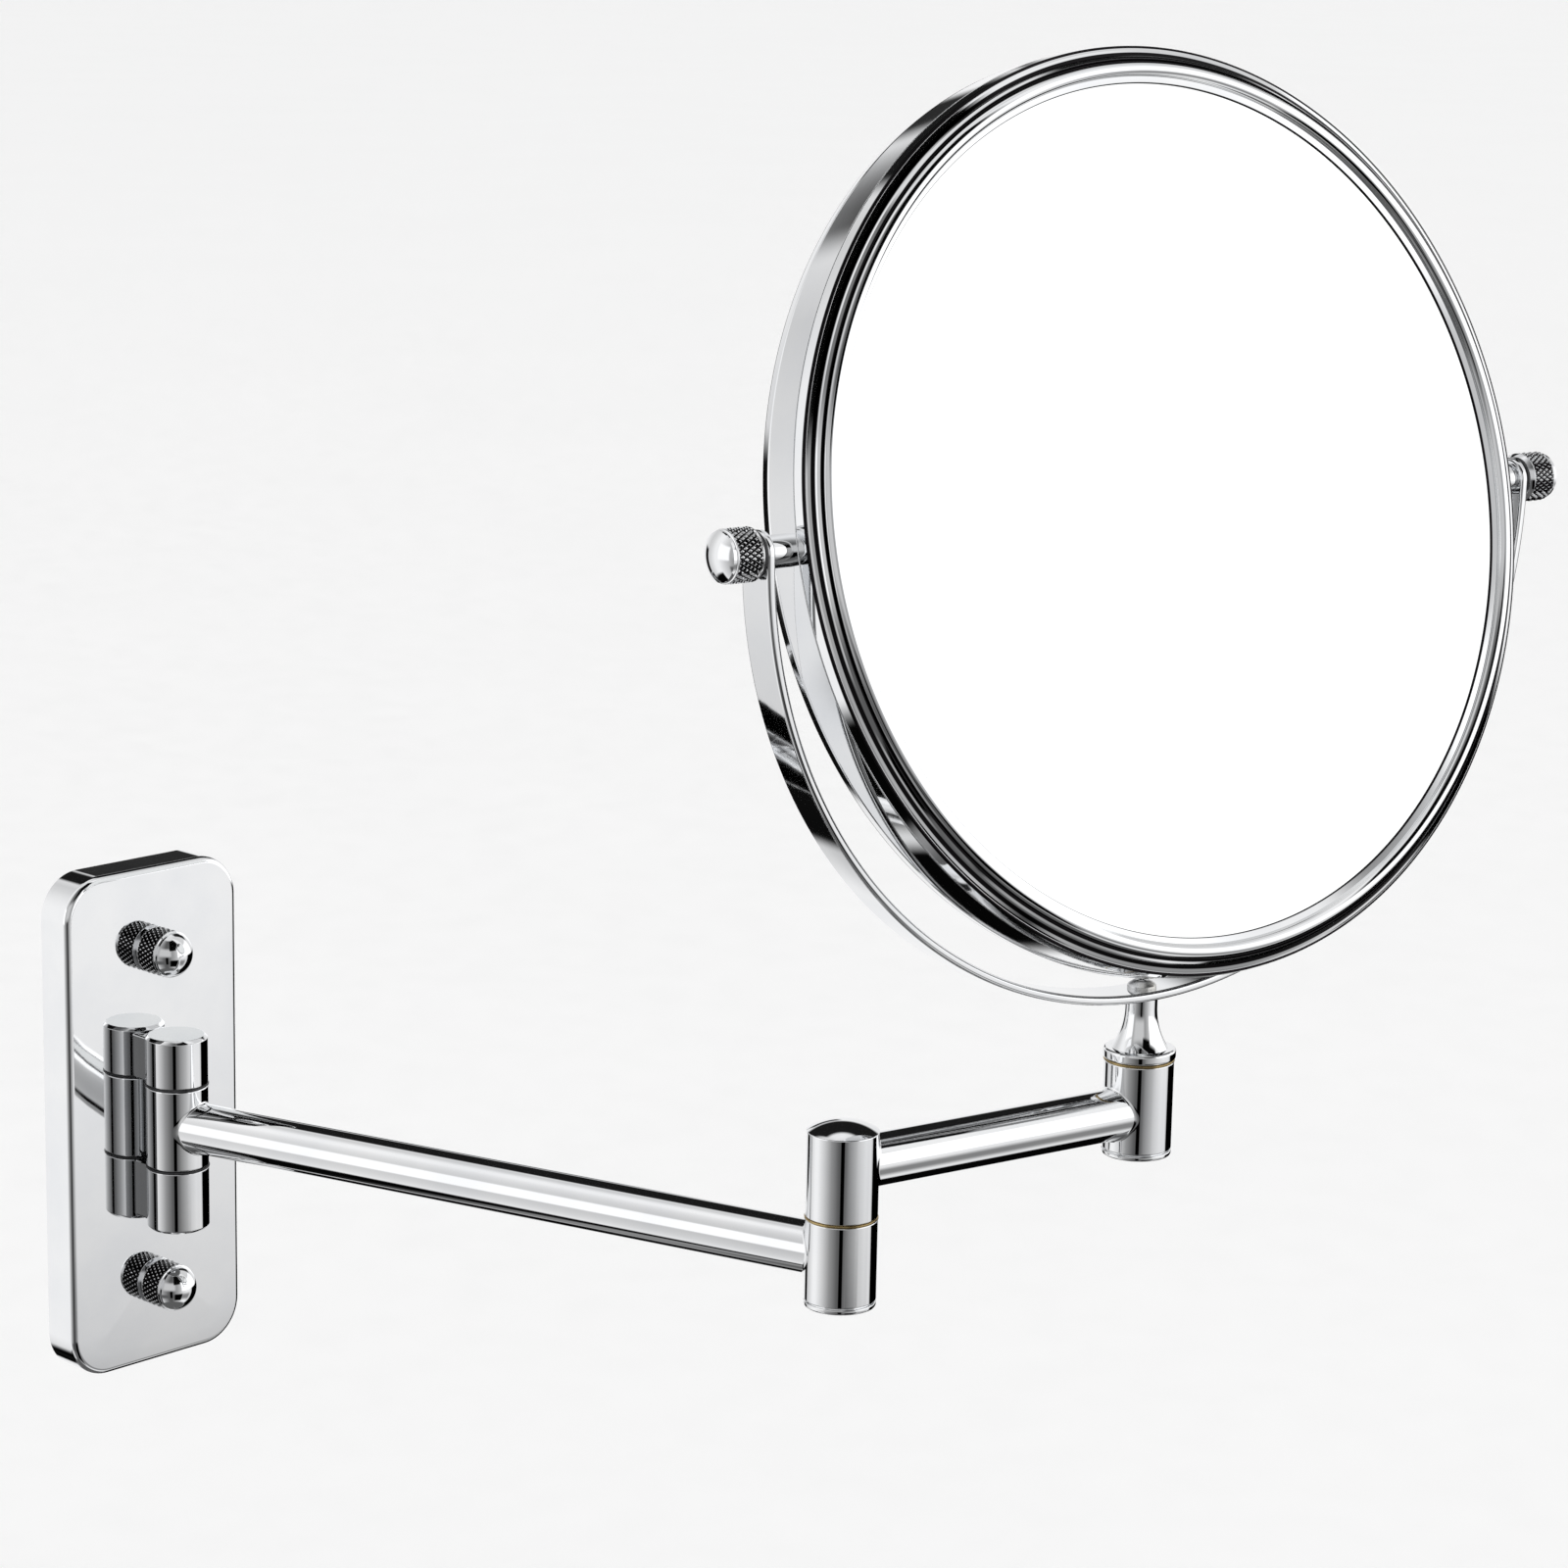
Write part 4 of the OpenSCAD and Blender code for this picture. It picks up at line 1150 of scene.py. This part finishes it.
standsFor(plainGlass(glass), "front_glass")
depth = dishDepth(glass)
print("magnifier hollow", round(depth / mm, 2), "mm")
standsFor(magnifyingGlass(glass, depth), "rear_glass")
print("mirror head made")


# pivots

thumbNut = dict(knurledNut, chamfer=0.9 * mm, domeShare=0.15, bright=0.6)
pivotBoreR = 2.5 * mm
for side, name in ((-1, "left"), (1, "right")):
    outwards = pivotLine * side
    place = standing(head, up, outwards)
    low, high = reach(name + "_thumb_nut", head, outwards)
    r = girth(name + "_thumb_nut", head, outwards)
    seat = place @ Matrix.Translation((0, 0, low))
    nut, grooveShade = domedNut(name + "ThumbNut", r, high - low, thumbNut, seat)
    standsFor(nut, name + "_thumb_nut")
    # its chrome gets the knurl's grooves painted near-black as shade
    nut.data.materials[0] = polishedChrome(nut.name + "Chrome", [grooveShade])
    low, high = reach(name + "_spacer", head, outwards)
    r = girth(name + "_spacer", head, outwards)
    outline = filleted([(0, low), (r, low), (r, high, 0.35 * mm), (0, high)])
    standsFor(addMesh(name + "Spacer", *spin(outline, 96), place), name + "_spacer")
    low, high = reach(name + "_pivot_washer", head, outwards)
    r = girth(name + "_pivot_washer", head, outwards)
    outline = washerOutline(pivotBoreR, r, low, high)
    standsFor(addMesh(name + "PivotWasher", *spin(outline, 96, True), place), name + "_pivot_washer")
print("pivots made")


# what shows behind the plate

backSide = {
    "cornerR": 3 * mm,
    "slotW": 5.2 * mm,
    "slotL": 9 * mm,
    "slotSpacing": 66 * mm,
    "bevel": 0.2 * mm,
}
low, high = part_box("wall_bracket")
thick = high.y - low.y
outlines = [roundedRect(high.x - low.x, high.z - low.z, backSide["cornerR"])]
for side in (-1, 1):
    outlines.append(slotOutline(backSide["slotW"], backSide["slotL"], side * backSide["slotSpacing"] / 2))
place = wallFrame @ Matrix.Translation((0, 0, thick / 2))
standsFor(punchedPlate("wallBracket", outlines, thick, backSide["bevel"], place), "wall_bracket")

low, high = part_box("backing_plate")
thick = high.y - low.y
outlines = [roundedRect(high.x - low.x, high.z - low.z, backSide["cornerR"])]
place = standing(Vector((0, (low.y + high.y) / 2, (low.z + high.z) / 2)), alongWall, outOfWall)
standsFor(punchedPlate("backingPlate", outlines, thick, backSide["bevel"], place), "backing_plate")

low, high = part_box("cover_studs")
studR = (high.x - low.x) / 2
studOutline = filleted([(0, -high.y), (studR, -high.y, 0.3 * mm), (studR, -low.y, 0.5 * mm), (0, -low.y)])
studs = [moved(spin(studOutline, 64), Matrix.Translation((0, s * (high.z - studR), 0))) for s in (-1, 1)]
standsFor(addMesh("coverStuds", *joined(*studs), wallFrame), "cover_studs")

low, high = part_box("lug_screws")
lugScrew = {
    "headR": (high.x - low.x) / 2,
    "headH": 2.4 * mm,
    "shaftR": 2 * mm,
    "shaftL": 6 * mm,
}
for number, z in enumerate((low.z + lugScrew["headR"], high.z - lugScrew["headR"])):
    seat = Vector((0, high.y - lugScrew["headH"], z))
    place = standing(seat, alongWall, -outOfWall)
    standsFor(crossHead(f"lugScrew{number}", lugScrew, place), "lug_screws")
print("back side made")


# floor and light

ground = {
    "half": 60.0,          # half its side
    "below": 0.28,         # from the object's lowest point
    "metal": 0,
    "tones": ((0.955, 0.955, 0.955), (0.962, 0.962, 0.962)),
    "toneNoise": (3, 4),
    "rough": (0.6, 0.75),
    "roughNoise": (40, 4),
}


def makeFloor(g):
    mesh = bpy.data.meshes.new("floor")
    size, z = g["half"], cadBox[0][2] - g["below"]
    corners = [(-size, -size, z), (size, -size, z), (size, size, z), (-size, size, z)]
    mesh.from_pydata(corners, [], [[0, 1, 2, 3]])
    floor = bpy.data.objects.new("floor", mesh)
    bpy.context.scene.collection.objects.link(floor)
    mesh.materials.append(makeFinish("paleFloor", g))
    floor.visible_glossy = False


makeFloor(ground)

# what the polished parts reflect. Degrees are counted from the camera's side, to the right and up.
room = {
    "turn": cameraSetup["azimuth"],
    "walls": {             # shade at each turn
        -180: 0.92, -150: 0.9, -126: 0.78, -114: 0.82, -96: 0.93, -84: 0.93, -60: 0.78, -36: 0.55, -12: 0.35,
        0: 0.33, 12: 0.4, 20: 0.52, 42: 0.68, 60: 0.85, 78: 0.92, 98: 0.9, 104: 0.8, 125: 0.8, 180: 0.92,
    },
    "plain": 1.0,          # what all but reflections see
    "plate": 0.87,         # what chrome gives back of the light
    "blue": 1.004,         # blue over red
}

# cards in the room: middle across and up, half its width and height, softness of its edge, shade
cards = {
    "lampAbove": (-10, 15, 30, 18, 8, 0.75),
    "glassWindow": (94, 11, 43, 19, 2, 1.06),
    "leftWindow": (-68, 6, 18, 16, 3, 1.0),
    "darkRight": (140, -34, 32, 26, 2, 0.0),
    "lowRight": (76, -33, 22, 12, 8, 0.5),
    "doorway": (-171, 15, 8, 4, 2, 0.18),
    "lowLeft": (-105, -48, 25, 12, 3, 0.05),
    "behind": (180, 42, 40, 20, 4, 0.12),
    "frontCeiling": (43, 54, 31, 22, 4, 0.04),
    "overDoor": (30, 34, 18, 9, 3, 0.05),
    "lowFront": (-10, -32, 40, 8, 4, 0.35),
    "doorStep": (36, -36, 20, 16, 3, 0.03),
    "darkStrip": (-136, -22, 9, 22, 2, 0.08),
    "lowBehind": (168, -50, 56, 10, 3, 0.05),
    "cameraStand": (0, -23, 6, 17, 1.5, 0.0),
    "overhead": (0, 90, 181, 14, 4, 0.85),
    "underfoot": (0, -90, 181, 30, 4, 0.35),
}


# a room painted on the sky, seen only in reflections; all else gets an even white
def makeRoom(r):
    world = bpy.data.worlds.new("room")
    bpy.context.scene.world = world
    world.use_nodes = True
    tree = world.node_tree
    tree.nodes.clear()

    # light of a card that looks as bright as its shade, in chrome
    def light(shade):
        value = shade ** 2.2 / r["plate"]
        return value, value, value * r["blue"], 1

    # 1 inside a half width, 0 outside it
    def within(distance, half, soft):
        node = tree.nodes.new("ShaderNodeMapRange")
        node.interpolation_type = "SMOOTHSTEP"
        node.inputs["From Min"].default_value = half - soft
        node.inputs["From Max"].default_value = half + soft
        node.inputs["To Min"].default_value = 1
        node.inputs["To Max"].default_value = 0
        tree.links.new(distance, node.inputs["Value"])
        return node.outputs["Result"]

    coords = tree.nodes.new("ShaderNodeTexCoord")
    turned = tree.nodes.new("ShaderNodeMapping")
    turned.inputs["Rotation"].default_value = (0, 0, math.radians(r["turn"]))
    tree.links.new(coords.outputs["Generated"], turned.inputs["Vector"])
    parts = tree.nodes.new("ShaderNodeSeparateXYZ")
    tree.links.new(turned.outputs["Vector"], parts.inputs[0])
    towards = calc(tree, "MULTIPLY", parts.outputs["Y"], -1.0)
    across = calc(tree, "DEGREES", calc(tree, "ARCTAN2", parts.outputs["X"], towards))
    rise = calc(tree, "DEGREES", calc(tree, "ARCSINE", parts.outputs["Z"]))

    ramp = tree.nodes.new("ShaderNodeValToRGB")
    elements = ramp.color_ramp.elements
    for angle, shade in sorted(r["walls"].items()):
        place = (angle + 180) / 360
        if angle == -180:
            element = elements[0]
        elif angle == 180:
            element = elements[-1]
        else:
            element = elements.new(place)
        element.position = place
        element.color = light(shade)
    tree.links.new(calc(tree, "ADD", calc(tree, "DIVIDE", across, 360.0), 0.5), ramp.inputs["Fac"])
    show = ramp.outputs["Color"]
    for middle, height, halfWide, halfTall, soft, shade in cards.values():
        turn = calc(tree, "WRAP", calc(tree, "SUBTRACT", across, middle), 180.0, -180.0)
        aside = calc(tree, "ABSOLUTE", turn)
        above = calc(tree, "ABSOLUTE", calc(tree, "SUBTRACT", rise, height))
        share = calc(tree, "MULTIPLY", within(aside, halfWide, soft), within(above, halfTall, soft))
        show = mix(tree, share, show, light(shade))

    rays = tree.nodes.new("ShaderNodeLightPath")
    plain = (r["plain"], r["plain"], r["plain"], 1)
    show = mix(tree, rays.outputs["Is Glossy Ray"], plain, show)
    background = tree.nodes.new("ShaderNodeBackground")
    tree.links.new(show, background.inputs["Color"])
    output = tree.nodes.new("ShaderNodeOutputWorld")
    tree.links.new(background.outputs[0], output.inputs[0])


makeRoom(room)
bpy.context.scene.view_settings.view_transform = "Standard"
print("floor and light made")
